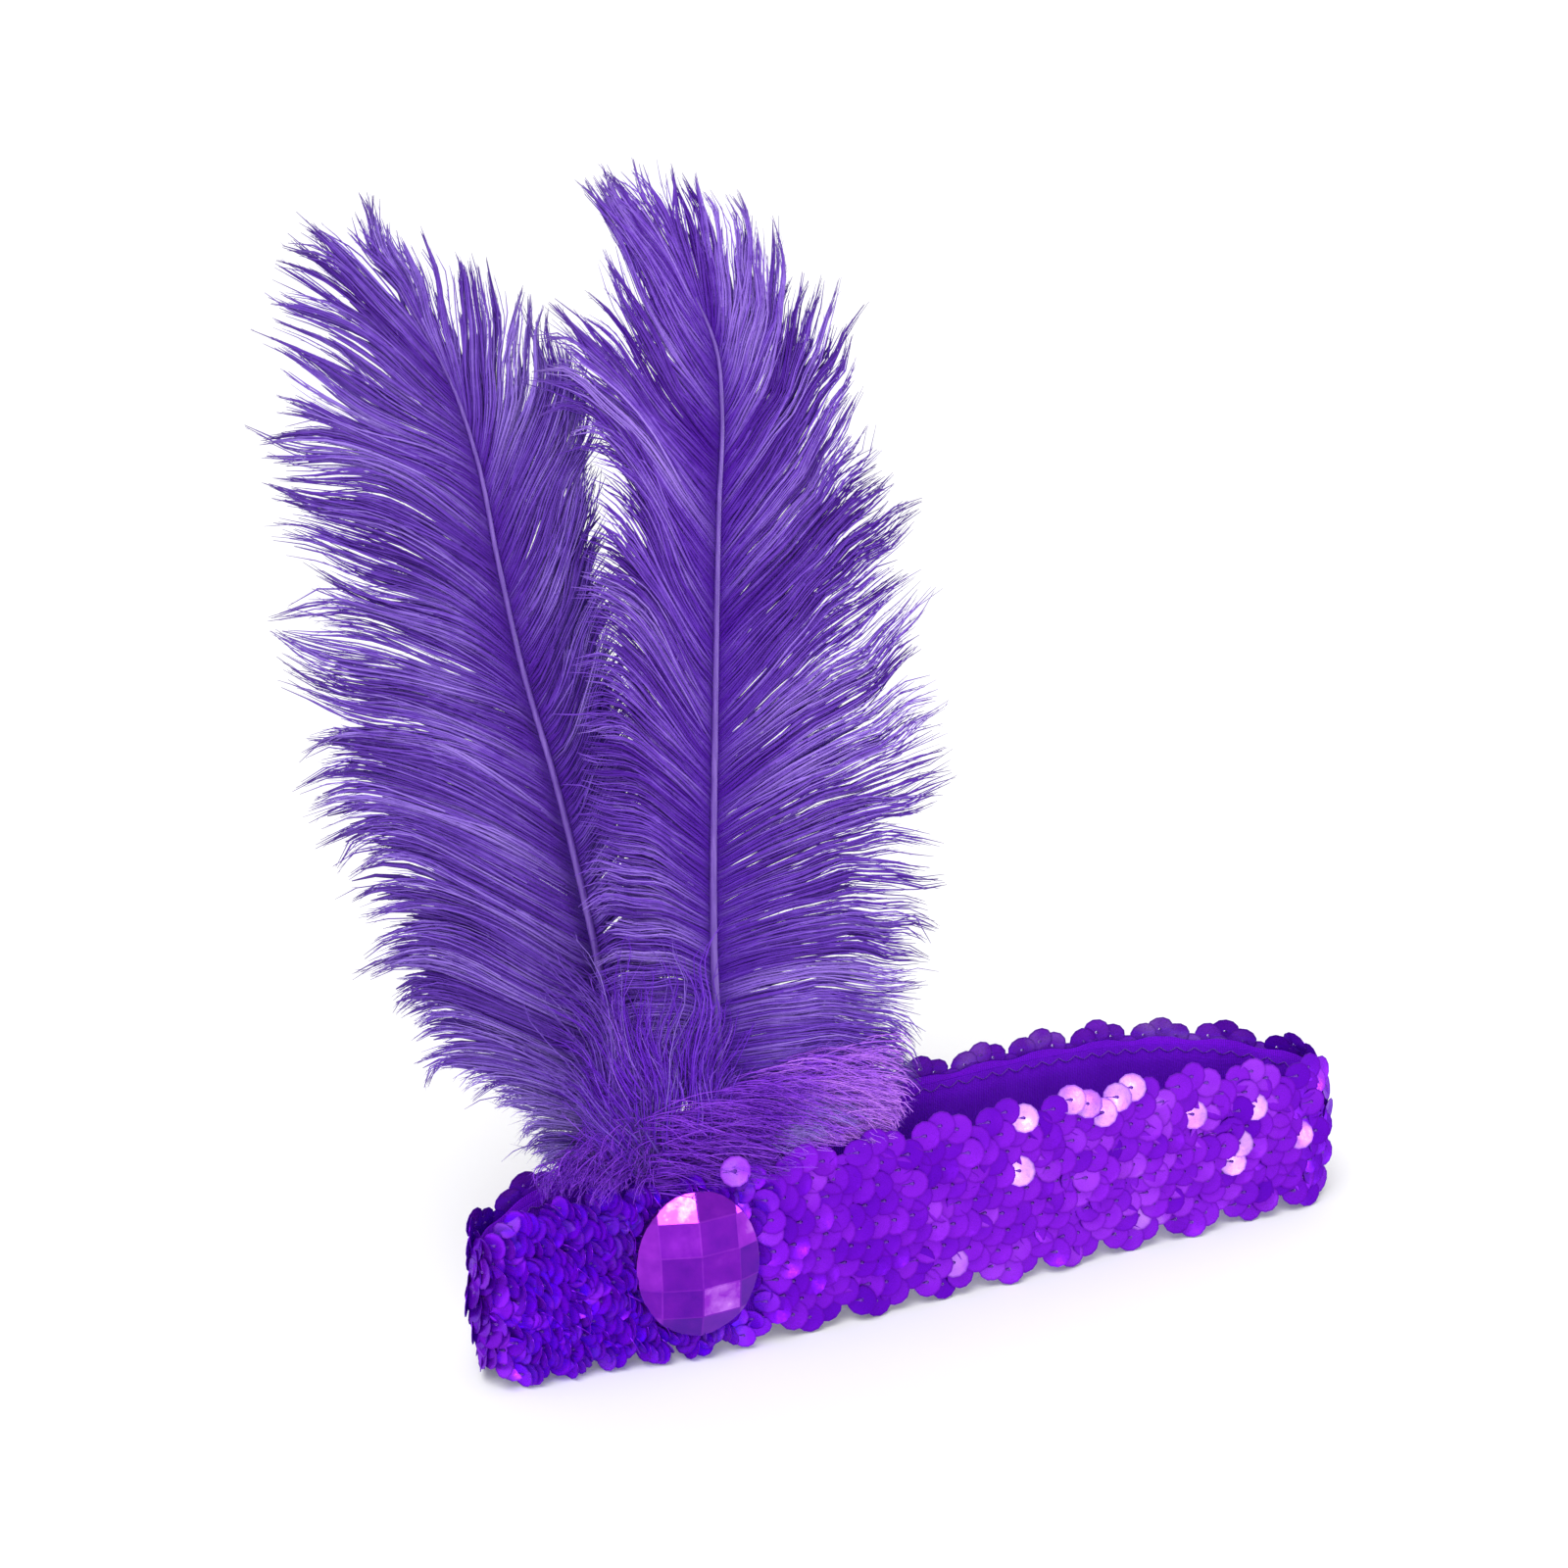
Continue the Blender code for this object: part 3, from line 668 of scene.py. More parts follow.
# ============================================================== the sequins
def sequin_places(seed=11):
    """Every sequin's centre, axes, size and tone."""
    rng = np.random.default_rng(seed)
    per = SEQUINS_PER_SCALLOP
    count = LOOP.scallops * per
    found = []
    for row in range(SEQUIN_ROWS):
        share = row / (SEQUIN_ROWS - 1)
        scallop = (np.arange(count) + 0.5 * (row % 2)) / per
        # the gathered stretch has one more between each two
        packed = (np.arange(count) + 0.5 * (row % 2) + 0.5) / per
        at = LOOP.at(LOOP.station(packed))
        packed = packed[(at[:, 0] < 56.0) & (at[:, 1] < 2.0)]
        scallop = np.concatenate([scallop, packed])
        outer = row in (0, SEQUIN_ROWS - 1)
        loose = 0.35 if outer else 1.0
        s = LOOP.station(scallop) + loose * rng.normal(0.0, 0.42, len(scallop))
        x = LOOP.at(s)[:, 0]
        y = LOOP.at(s)[:, 1]
        front = (y < 5.0) & (x < 120.0)
        height = height_at(x)
        many = len(scallop)
        way = LOOP.normal(s)
        corner = np.degrees(np.arctan2(-way[:, 0], -way[:, 1]))
        turn = np.where(front, np.interp(x, FRONT_TURN_X, FRONT_TURN), 9.0)
        turn = np.where(front & (x < 30.0), np.clip(turn - corner, 9.0, 50.0), turn)
        pressed = smoothstep((turn - 11.0) / 30.0)
        inset = ROW_INSET - 2.2 * pressed
        z = inset + (height - 2.0 * inset) * share
        swing = edge_swing(scallop) * (1.0 - 0.25 * pressed) - 0.6 * (1.0 - 0.55 * pressed)
        z += swing * ROW_WAVE * ((1 - share) ** 3 - share**3)
        z += loose * rng.normal(0.0, 0.40, many)
        z += 3.4 * smoothstep((40.0 - x) / 18.0) * smoothstep((9.0 - y) / 6.0) * share**2
        gathered = pressed
        turn = turn + rng.normal(0.0, 1.0, many) * (5.4 + 11.0 * gathered)
        tip = 9.0 * (1 - gathered) + rng.normal(0.0, 1.0, many) * (5.0 + 14.0 * gathered)
        z = z + rng.normal(0.0, 1.0, many) * 0.9 * gathered * (0.0 if outer else 1.0)
        size = SEQUIN_RADIUS * rng.uniform(0.96, 1.03, many) * (1.0 - 0.17 * gathered)
        tone = 0.44 + 0.13 * rng.normal(0.0, 1.0, many)
        # the gathered term is painted light: crowded, steeply turned discs are made lighter against the shade they
        # cast on each other
        tone += 0.18 * smoothstep((x - 90.0) / 90.0) + 0.42 * gathered
        tone += 0.30 * smoothstep((y - 10.0) / 6.0) * smoothstep((share - 0.7) / 0.2)
        tone -= 0.16 * smoothstep((x - 208.0) / 14.0)
        tone = np.minimum(tone, 0.84)
        # how strongly each gathered disc is painted brighter in the material, stored as its gathered attribute
        glow = gathered * rng.uniform(0.6, 1.0, many)
        found.append(np.column_stack([s, z, turn, tip, size, tone, glow]))
    found = np.vstack(found)
    # none under the gem
    centre = LOOP.at(found[:, 0])
    across = (centre[:, 0] - GEM_X) / (GEM_HALF_WIDTH - 3.0)
    upward = (found[:, 1] - GEM_Z) / (GEM_HALF_HEIGHT - 4.0)
    under = (centre[:, 1] < 0.0) & (across**2 + upward**2 < 1.0)
    return found[~under], rng


def turned_towards(eye, light, point):
    a = unit(np.asarray(eye) - point)
    b = unit(np.asarray(light) - point)
    return unit(a + b)


def build_sequins(material, thread, eye, key):
    rows, rng = sequin_places()
    s, z, turn, tip, size, tone, gathered = rows.T
    normal = np.column_stack([LOOP.normal(s), np.zeros(len(s))])
    along = np.column_stack([-normal[:, 1], normal[:, 0], np.zeros(len(s))])
    t, b = np.radians(turn)[:, None], np.radians(tip)[:, None]
    face = normal * np.cos(t) - along * np.sin(t)
    right = along * np.cos(t) + normal * np.sin(t)
    upward = UP * np.cos(b) - face * np.sin(b)
    face = face * np.cos(b) + UP * np.sin(b)
    lift = 0.30 + 0.72 * size * np.sin(np.clip(np.radians(turn), 0.0, 1.5))
    # tucked in a little round the gem's edge
    centre = LOOP.at(s)
    by_gem = np.hypot((centre[:, 0] - GEM_X) / 19.0, (z - GEM_Z) / 24.0)
    lift *= np.where((centre[:, 1] < 0) & (by_gem < 1.0), 0.45, 1.0)
    spot = wall(s, z, lift - 0.35)

    front = centre[:, 1] < 4.0
    for x, height in TURNED_SEQUINS:
        gap = np.hypot(centre[:, 0] - x, z - height) + np.where(front, 0.0, 1e3)
        k = int(np.argmin(gap))
        facing = turned_towards(eye, key, spot[k])
        facing = unit(facing + rng.normal(0.0, 0.035, 3))
        face[k] = facing
        right[k] = unit(np.cross(UP, facing))
        upward[k] = np.cross(facing, right[k])
        spot[k] += normal[k] * 0.5
        # painted highlight: these discs also take the pink-white top of the foil ramp
        tone[k] = 1.0

    # a loose one standing before the top edge, over the gem
    extra = {"x": 57.4, "z": 48.6}
    near = np.linspace(0.0, 0.5 * LOOP.length, 2001)
    se = float(near[np.argmin(np.abs(LOOP.at(near)[:, 0] - extra["x"]))])
    ne = np.array([*LOOP.normal(se), 0.0])
    facing = unit(turned_towards(eye, key, wall(np.array([se]), np.array([extra["z"]]), np.array([3.4]))[0]) + ne)
    spot = np.vstack([spot, wall(np.array([se]), np.array([extra["z"]]), np.array([3.4]))])
    face = np.vstack([face, facing])
    right = np.vstack([right, unit(np.cross(UP, facing))])
    upward = np.vstack([upward, np.cross(facing, right[-1])])
    size = np.append(size, SEQUIN_RADIUS)
    tone = np.append(tone, 0.80)

    n = len(size)
    spin = rng.uniform(0.0, 2.0 * math.pi, n)
    a = np.linspace(0.0, 2.0 * math.pi, SEQUIN_SIDES, endpoint=False)
    # rings from the hole out over the front, and back over the rear
    half = 0.5 * SEQUIN_THICKNESS
    profile = (
        (SEQUIN_HOLE, half, 0.10),
        (0.62 * SEQUIN_RADIUS, half, 0.62),
        (SEQUIN_RADIUS, half, 1.0),
        (SEQUIN_RADIUS, -half, 1.0),
        (SEQUIN_HOLE, -half, 0.10),
    )
    rings, rims = [], []
    for radius, side, rim in profile:
        r = radius * size / SEQUIN_RADIUS
        dish = SEQUIN_CUP * (radius / SEQUIN_RADIUS) ** 2
        turnabout = spin[:, None] + a[None]
        ring = (
            spot[:, None]
            + r[:, None, None]
            * (
                np.cos(turnabout)[..., None] * right[:, None]
                + np.sin(turnabout)[..., None] * upward[:, None]
            )
            + (dish + side) * face[:, None]
        )
        rings.append(ring)
        rims.append(np.full((n, SEQUIN_SIDES), rim))
    points = np.stack(rings, 1).reshape(-1, 3)
    rim = np.stack(rims, 1).reshape(-1)
    count = len(profile)
    base = (np.arange(n) * count * SEQUIN_SIDES)[:, None, None]
    level = (np.arange(count) * SEQUIN_SIDES)[None, :, None]
    after = (((np.arange(count) + 1) % count) * SEQUIN_SIDES)[None, :, None]
    k = np.arange(SEQUIN_SIDES)[None, None]
    nk = (k + 1) % SEQUIN_SIDES
    quads = np.stack(
        [base + level + k, base + after + k, base + after + nk, base + level + nk], -1
    ).reshape(-1, 4)
    sequins = make_object("sequins", points, quads.tolist(), material)
    sequins.data.set_sharp_from_angle(angle=math.radians(50))
    add_number(sequins, "gathered", np.repeat(np.append(gathered, 0.0), count * SEQUIN_SIDES))
    add_number(sequins, "tone", np.repeat(tone, count * SEQUIN_SIDES))
    add_number(sequins, "rim", rim)

    # one stitch from each hole over the sequin's left edge
    steps = np.array([0.0, 0.0, 0.35, 0.75, 1.0])
    steps[1] = 0.03
    reach = -right * (size * 1.02)[:, None]
    paths = (
        spot[:, None]
        + reach[:, None] * steps[None, :, None]
        + face[:, None]
        * (half + 0.10 + SEQUIN_CUP * steps**2 - 0.55 * smoothstep((steps - 0.8) / 0.2))[
            None, :, None
        ]
    )
    paths[:, 0] -= face * 0.35
    radii = np.full(paths.shape[:2], 0.085)
    radii[:, :2] = 0.47 * (size / SEQUIN_RADIUS)[:, None]
    p, f = tubes(paths, radii, UP)
    stitches = make_object("sequin_stitches", p, f, thread)
    return sequins, stitches


def band_sheet(name, low, high, out, thickness, material, wave, stations=580, rows=8):
    """A closed strip of cloth with a front, a back and turned edges. low and
    high are functions of arc length."""
    s = np.linspace(0.0, LOOP.length, stations, endpoint=False)
    bottom, top = low(s), high(s)
    levels = np.linspace(0.0, 1.0, rows)
    sides = []
    for depth, order in ((out, levels), (out - thickness, levels[::-1])):
        for q in order:
            z = bottom + (top - bottom) * q
            edge = 0.28 * thickness * (1.0 if q in (0.0, 1.0) else 0.0)
            sign = -1.0 if depth == out else 1.0
            sides.append((wall(s, z, depth + sign * edge + wave(s, z)), s, z))
    columns = [c for c, _, _ in sides]
    count = len(columns)
    points = np.stack(columns, 1).reshape(-1, 3)
    i = np.arange(stations)[:, None]
    n = (i + 1) % stations
    k = np.arange(count)[None]
    m = (k + 1) % count
    quads = np.stack(
        [i * count + k, n * count + k, n * count + m, i * count + m], -1
    ).reshape(-1, 4)
    item = make_object(name, points, quads.tolist(), material)
    cloth = item.data.uv_layers.new(name="cloth")
    u = np.stack([np.broadcast_to(a, stations) for _, a, _ in sides], 1).reshape(-1)
    v = np.stack([b for _, _, b in sides], 1).reshape(-1)
    corner = np.zeros(len(item.data.loops), np.int32)
    item.data.loops.foreach_get("vertex_index", corner)
    uu = u[corner].reshape(-1, 4)
    uu = np.where(uu.max(1, keepdims=True) - uu > 0.5 * LOOP.length, uu + LOOP.length, uu)
    flat = np.column_stack([uu.reshape(-1), v[corner]])
    cloth.data.foreach_set("uv", flat.astype(np.float32).ravel())
    return item


def build_cloths(trim_material, backing_material, thread):
    def trim_low(s):
        at = LOOP.at(s)
        pressed = smoothstep((60.0 - at[:, 0]) / 20.0) * (at[:, 1] < 5.0)
        return 5.6 - 1.0 * pressed + 1.0 * edge_swing(LOOP.scallop(s))

    def trim_high(s):
        return height_at(LOOP.at(s)[:, 0]) - trim_low(s)

    def gathers(s, z):
        near = np.exp(-(((s % LOOP.length) - 20.0) / 34.0) ** 2)
        return -0.16 * near * (1.0 + np.sin(s * 2.4 + 0.05 * z))

    trim = band_sheet(
        "trim_knit", trim_low, trim_high, -0.75, 0.95, trim_material, gathers
    )
    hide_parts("sequin_trim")

    def backing_low(s):
        return np.full_like(s, BACKING_INSET + 0.3)

    def backing_high(s):
        return height_at(LOOP.at(s)[:, 0]) - BACKING_INSET - 2.2

    def ease(s, z):
        return 0.10 * np.sin(s * 0.21) * np.sin(z * 0.14) - 0.08

    near = -(TRIM_WALL + BACKING_GAP)
    backing = band_sheet(
        "elastic_backing_knit",
        backing_low,
        backing_high,
        near,
        BACKING_WALL - 0.12,
        backing_material,
        ease,
    )
    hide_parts("elastic_backing")

    # the backing's edges are held by a zigzag of thread
    inside = near - BACKING_WALL - 0.02
    paths = []
    stitch = 2.6
    count = int(LOOP.length / stitch)
    for edge in ("low", "high"):
        s0 = np.arange(count) * LOOP.length / count
        t = np.linspace(0.0, 1.0, 4)
        s = s0[:, None] + t[None] * 0.92 * stitch
        swing = np.where((np.arange(count) % 2)[:, None] == 0, t[None], 1.0 - t[None])
        x = LOOP.at(s)[..., 0]
        z = (
            BACKING_INSET + 0.8 + 1.5 * swing
            if edge == "low"
            else height_at(x) - BACKING_INSET - 2.7 - 1.5 * swing
        )
        dip = np.where((t == 0.0) | (t == 1.0), 0.12, -0.04)
        paths.append(wall(s, z, inside + dip[None] + np.zeros_like(s)))
    paths = np.concatenate(paths)
    p, f = tubes(paths, np.full(paths.shape[:2], 0.15), UP, sides=4)
    stitches = make_object("backing_stitches", p, f, thread)
    return trim, backing


# =================================================================== the gem
def build_gem(material, seed=5):
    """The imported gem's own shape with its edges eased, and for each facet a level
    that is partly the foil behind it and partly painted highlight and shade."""
    rng = np.random.default_rng(seed)
    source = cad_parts["gem"]
    work = bmesh.new()
    work.from_mesh(source.data)
    bmesh.ops.remove_doubles(work, verts=work.verts, dist=1e-6)
    bmesh.ops.dissolve_limit(
        work, angle_limit=math.radians(0.6), verts=work.verts, edges=work.edges
    )
    edges = [e for e in work.edges if len(e.link_faces) == 2 and e.calc_face_angle(0.0) > math.radians(4.0)]
    bmesh.ops.bevel(
        work,
        geom=edges,
        offset=0.00022,
        segments=2,
        profile=0.6,
        affect="EDGES",
        clamp_overlap=True,
    )
    work.normal_update()
    mesh = bpy.data.meshes.new("gem_stone")
    facet, edge_tint = [], []
    chart = np.array(FACET_FOIL_AND_LIGHT)
    areas = [f.calc_area() for f in work.faces]
    for f, area in zip(work.faces, areas):
        flat = area > 3.0e-6
        centre = np.array(f.calc_center_median()) / MM + LAYOUT_ORIGIN
        aside = np.hypot(
            chart[:, 0] - (centre[0] - GEM_X), chart[:, 1] - (centre[2] - GEM_Z)
        )
        # the charted level: foil brightness together with painted highlight and shade
        level = float(chart[int(np.argmin(aside)), 2])
        facet.append(level + float(rng.uniform(-0.03, 0.03)) if flat else 0.5 * level + 0.3)
        edge_tint.append(0.0 if flat else 0.10)
        f.smooth = False
    work.to_mesh(mesh)
    work.free()
    for name, values in (("facet", facet), ("edge_tint", edge_tint)):
        layer = mesh.attributes.new(name, "FLOAT", "FACE")
        layer.data.foreach_set("value", np.asarray(values, np.float32))
    mesh.materials.append(material)
    gem = bpy.data.objects.new("gem_stone", mesh)
    bpy.context.scene.collection.objects.link(gem)
    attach(gem, "root")
    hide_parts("gem")
    return gem


# ================================================================ the plumes
def plume_y(side, z):
    lean = np.clip(
        (np.asarray(z, float) - PLUME_BOW_FROM) / (PLUME_BOW_Z - PLUME_BOW_FROM), 0.0, 2.0
    )
    return PLUME_Y[side] + PLUME_BOW * lean**2


def quill_radius(side, z):
    along = (np.asarray(z, float) - QUILL_FOOT_Z) / (QUILL_TOP_Z[side] - QUILL_FOOT_Z)
    along = np.clip(along, 0.0, 1.0)
    return QUILL_FOOT_RADIUS + (QUILL_TOP_RADIUS - QUILL_FOOT_RADIUS) * along


def smooth_rows(heights, values, z):
    """A smooth curve through a table's rows."""
    heights, values = np.asarray(heights, float), np.asarray(values, float)
    slope = np.gradient(values, heights)
    k = np.clip(np.searchsorted(heights, z) - 1, 0, len(heights) - 2)
    h = heights[k + 1] - heights[k]
    t = np.clip((z - heights[k]) / h, 0.0, 1.0)
    return (
        (2 * t**3 - 3 * t**2 + 1) * values[k]
        + (t**3 - 2 * t**2 + t) * h * slope[k]
        + (-2 * t**3 + 3 * t**2) * values[k + 1]
        + (t**3 - t**2) * h * slope[k + 1]
    )


def quill_x(side, z):
    rows = np.array(PLUMES[side])
    heights = np.concatenate([[QUILL_FOOT_Z], rows[:, 0]])
    across = np.concatenate([[QUILL_FOOT_X[side]], rows[:, 2]])
    return smooth_rows(heights, across, np.asarray(z, float))


def build_quill(side, material):
    z = np.linspace(QUILL_FOOT_Z, QUILL_TOP_Z[side], 90)
    path = np.column_stack([quill_x(side, z), plume_y(side, z), z])[None]
    radius = quill_radius(side, z)
    radius[0] *= 0.55
    radius[1] *= 0.9
    radius[-1] *= 0.4
    p, f = tubes(path, radius[None], np.array([0.0, 1.0, 0.0]), sides=14)
    item = make_object("quill_" + side + "_shaft", p, f, material)
    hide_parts("quill_" + side)
    return item


def bezier(a, b, c, d, t):
    return (
        (1 - t) ** 3 * a + 3 * (1 - t) ** 2 * t * b + 3 * (1 - t) * t**2 * c + t**3 * d
    )


def flat_angle(degrees):
    r = np.radians(degrees)
    return np.stack([np.cos(r), np.sin(r)], -1)


def barbules(rng, paths, radii, tone, count, length, spread, fluff):
    """Needles along the barbs, leaning forward to either side."""
    n, m, _ = paths.shape
    which = rng.integers(0, n, count)
    t = rng.uniform(0.10, 0.985, count) ** 0.85 * (m - 1)
    k = np.clip(t.astype(int), 0, m - 2)
    mixed = (t - k)[:, None]
    foot = paths[which, k] * (1 - mixed) + paths[which, k + 1] * mixed
    way = unit(paths[which, k + 1] - paths[which, k])
    beside = unit(np.cross(way, [0.0, 1.0, 0.0]))
    side = np.where(rng.random(count) < 0.5, -1.0, 1.0)
    lean = np.radians(rng.uniform(*spread, count))
    out = (
        way * np.cos(lean)[:, None]
        + beside * (side * np.sin(lean))[:, None]
        + np.array([0.0, 1.0, 0.0]) * (rng.normal(0.0, 0.22, count))[:, None]
    )
    size = length * rng.uniform(0.55, 1.15, count) * (1.0 + fluff[which])
    size *= 1.0 - 0.45 * (t / (m - 1)) ** 3
    thick = np.full(count, BARBULE_RADIUS)
    p, f = spikes(foot, unit(out), size, thick)
    return (
        p,
        f,
        np.repeat(tone[which] + rng.normal(0.0, 0.08, count), 4),
        np.repeat(t / (m - 1), 4) * 0.9,
    )


def sway(x, z, seed):
    """A slow wander shared by barbs that lie near each other."""
    rng = np.random.default_rng(seed)
    total = np.zeros_like(x)
    for _ in range(7):
        way = rng.uniform(0.0, 2.0 * math.pi)
        rate = 2.0 * math.pi / rng.uniform(13.0, 42.0)
        total += np.sin(
            rate * (x * math.cos(way) + z * math.sin(way)) + rng.uniform(0.0, 6.28)
        )
    return total / 2.6


def build_vane(name, side, locks, node_name, material, count, needles, seed, shared_below):
    """One side of a plume. Its barbs leave the quill evenly, then gather into
    strands that follow their lock's curve. Below shared_below the two plumes
    lie against each other and the barbs stay spread."""
    rng = np.random.default_rng(seed)
    rows = np.array(locks, float)
    outer = node_name.endswith("outer")
    side_way = 1.0 if (side == "right") == outer else -1.0
    cup = VANE_CUP if outer else 0.0
    rise = smoothstep((rows[:, 0] - 62.0) / 30.0) * smoothstep((222.0 - rows[:, 0]) / 25.0)
    rows[:, 3] += side_way * (10.0 if outer else 4.0) * rise
    if side == "left" and outer:
        rows[:, 4] += 14.0 * smoothstep((150.0 - rows[:, 0]) / 25.0)
    spacing = np.abs(np.gradient(rows[:, 0]))
    width = np.maximum(spacing, 3.4)
    width *= 1.0 + 1.3 * smoothstep((96.0 - rows[:, 0]) / 35.0) * outer

    # strands: lock, place in the lock, own share of the barbs
    lock_of, u_strand, share = [], [], []
    for k, w in enumerate(width):
        n = max(2, int(round(w / 1.9)))
        for j in range(n):
            lock_of.append(k)
            u_strand.append(k + (j + 0.5) / n - 0.5)
            share.append(w / n)
    lock_of, u_strand, share = map(np.array, (lock_of, u_strand, share))
    strands = len(lock_of)
    index = np.arange(len(rows))

    def charted(u):
        return np.stack([np.interp(u, index, rows[:, c]) for c in range(6)], 1)

    strand_row = charted(u_strand)
    spread_zone = smoothstep((shared_below - strand_row[:, 0]) / 22.0)
    high = smoothstep((strand_row[:, 0] - 185.0) / 25.0)
    lock_close = rng.uniform(0.40, 0.80, len(rows))[lock_of] * (1.0 - 0.85 * spread_zone)
    lock_close *= 0.62 + 0.38 * high
    goal = strand_row * (1 - lock_close[:, None]) + rows[lock_of] * lock_close[:, None]
    goal[:, 1:3] += rng.normal(0.0, 0.9, (strands, 2))
    goal[:, 3] += rng.normal(0.0, 2.0, strands)
    goal[:, 4] += rng.normal(0.0, 7.0, strands)
    within = 2.0 * (u_strand - lock_of)
    strand_length = rng.uniform(0.92, 1.045, strands) - rng.uniform(0.02, 0.20, len(rows))[
        lock_of
    ] * np.abs(within) ** 1.4 * (1.0 - 0.7 * spread_zone) * (1.0 - 0.5 * high)
    if not outer:
        closing = smoothstep((186.0 - strand_row[:, 0]) / 14.0)
        strand_length *= 1.0 + (0.12 if side == "left" else 0.05) * spread_zone
        strand_length += (0.06 if side == "left" else 0.0) * closing
        if side == "right":
            strand_length -= rng.uniform(0.0, 0.24, strands) * smoothstep(
                (150.0 - strand_row[:, 0]) / 30.0
            )
    opens = np.where(
        rng.random(strands) < 0.12 + 0.53 * high,
        rng.uniform(0.22, 0.40, strands),
        rng.uniform(0.48, 0.78, strands),
    )
    opens = opens + 0.25 * spread_zone
    opens += 0.20 * smoothstep((200.0 - strand_row[:, 0]) / 25.0) * (1.0 - spread_zone)
    if side == "right":
        opens += 0.14 * smoothstep((140.0 - strand_row[:, 0]) / 30.0) * outer
    elif outer:
        opens -= 0.18 * smoothstep((150.0 - strand_row[:, 0]) / 25.0)
    hook = rng.uniform(-1.0, 0.7, strands) * rng.uniform(0.3, 3.8, strands)
    hook *= 1.0 - 0.8 * spread_zone
    handle_a, handle_b = rng.uniform(0.33, 0.42, strands), rng.uniform(0.28, 0.40, strands)
    wave = np.stack(
        [rng.uniform(0.2, 0.9, strands), rng.uniform(4.0, 9.0, strands), rng.uniform(0, 6.28, strands)]
    )
    wave[0] *= 1.0 + 0.8 * high
    strand_tone = 0.17 * rng.normal(0.0, 1.0, strands) + 0.10 * rng.normal(0.0, 1.0, len(rows))[lock_of]
    strand_layer = rng.normal(0.0, 1.0, strands)

    # evenly along the quill, each kind of barb evenly among the others
    whole_share = np.cumsum(share) / share.sum()
    q = (np.arange(count) + rng.uniform(0.1, 0.9, count)) / count
    f = np.minimum(np.searchsorted(whole_share, q), strands - 1)
    before = np.concatenate([[0.0], whole_share[:-1]])[f]
    e = (q - before) / (whole_share[f] - before) - 0.5
    step = np.gradient(u_strand)[f]
    own = charted(u_strand[f] + e * step)
    kind = (np.arange(count) * 0.6180339887 + rng.random()) % 1.0
    fill = kind > 0.84
    haze = (kind > 0.56) & ~fill
    stray = kind < 0.05
    close = rng.uniform(0.80, 0.98, count)
    close = np.where(stray, rng.uniform(0.1, 0.5, count), close)
    close = np.where(fill, 0.0, close) * (1.0 - 0.55 * spread_zone[f])
    close = np.where(haze, rng.uniform(0.0, 0.35, count), close)

    def curve(row, z_root, a, b, t, shift):
        root = np.stack([quill_x(side, z_root), z_root], 1)
        root[:, 0] += side_way * quill_radius(side, z_root) * shift
        tip = row[:, 1:3]
        reach = np.linalg.norm(tip - root, axis=1, keepdims=True)
        first = root + flat_angle(row[:, 3]) * reach * a[:, None]
        second = tip - flat_angle(row[:, 4]) * reach * b[:, None]
        return bezier(root[:, None], first[:, None], second[:, None], tip[:, None], t[..., None])

    top = QUILL_TOP_Z[side] - 8.0
    root_z = np.clip(own[:, 0] + rng.normal(0.0, 0.12, count), 47.0, top)
    strand_root = np.clip(strand_row[:, 0], 47.0, top)
    whole = np.where(
        kind < 0.56,
        rng.uniform(0.90, 1.0, count) - 0.14 * (rng.random(count) < 0.25),
        np.where(fill, rng.uniform(0.46, 0.80, count), rng.uniform(0.66, 0.97, count)),
    )
    evened = 0.6 if side == "left" else 0.35
    whole = whole + (0.90 - whole) * evened * spread_zone[f] * (whole < 0.90)
    dense = smoothstep(((140.0 if outer else 186.0) - strand_row[f, 0]) / 14.0)
    if side == "right":
        dense = dense * (0.0 if outer else 1.0)
    longer = rng.uniform(0.64, 0.94 if side == "left" else 0.88, count)
    whole = np.where(fill, whole + (np.maximum(longer, whole) - whole) * dense, whole)
    whole = whole * strand_length[f]
    t = np.linspace(0.0, 1.0, BARB_STEPS)[None] * whole[:, None]
    free_row = own.copy()
    free_row[:, 1:3] += rng.normal(0.0, 1.0, (count, 2)) * np.where(stray, 2.6, 1.0)[:, None]
    free_row[:, 3] += rng.normal(0.0, 4.0, count)
    free_row[:, 4] += rng.normal(0.0, 7.0, count)
    shift = rng.uniform(0.1, 0.8, count)
    even = np.ones(count)
    free = curve(free_row, root_z, 0.375 * even, 0.34 * even, t, shift)
    held = curve(goal[f], strand_root[f], handle_a[f], handle_b[f], t, shift)
    heading = np.gradient(held, axis=1)
    heading /= np.maximum(np.linalg.norm(heading, axis=-1, keepdims=True), 1e-6)
    across = np.stack([-heading[..., 1], heading[..., 0]], -1)
    broad = smoothstep((205.0 - strand_row[:, 0]) / 40.0)
    thick = ((1.15 + 1.35 * broad) * rng.uniform(0.75, 1.25, strands))[f]
    held += across * (thick * rng.uniform(-0.5, 0.5, count))[:, None, None] * (
        1.0 - 0.50 * t[..., None]
    )
    w = close[:, None] * smoothstep((t - opens[f][:, None] + 0.12) / 0.42)
    flat = free * (1.0 - w[..., None]) + held * w[..., None]
    ripple = wave[0][f][:, None] * t**1.4 * np.sin(wave[1][f][:, None] * t + wave[2][f][:, None])
    ripple += (
        rng.uniform(0.03, 0.30, count)[:, None]
        * t
        * np.sin(rng.uniform(5.0, 13.0, count)[:, None] * t + rng.uniform(0, 6.28, count)[:, None])
    )
    ripple += 1.35 * t**1.2 * sway(flat[..., 0], flat[..., 1], seed + 500)
    ripple += side_way * hook[f][:, None] * np.clip((t - 0.72) / 0.28, 0.0, 1.3) ** 2
    flat = flat + across * ripple[..., None]

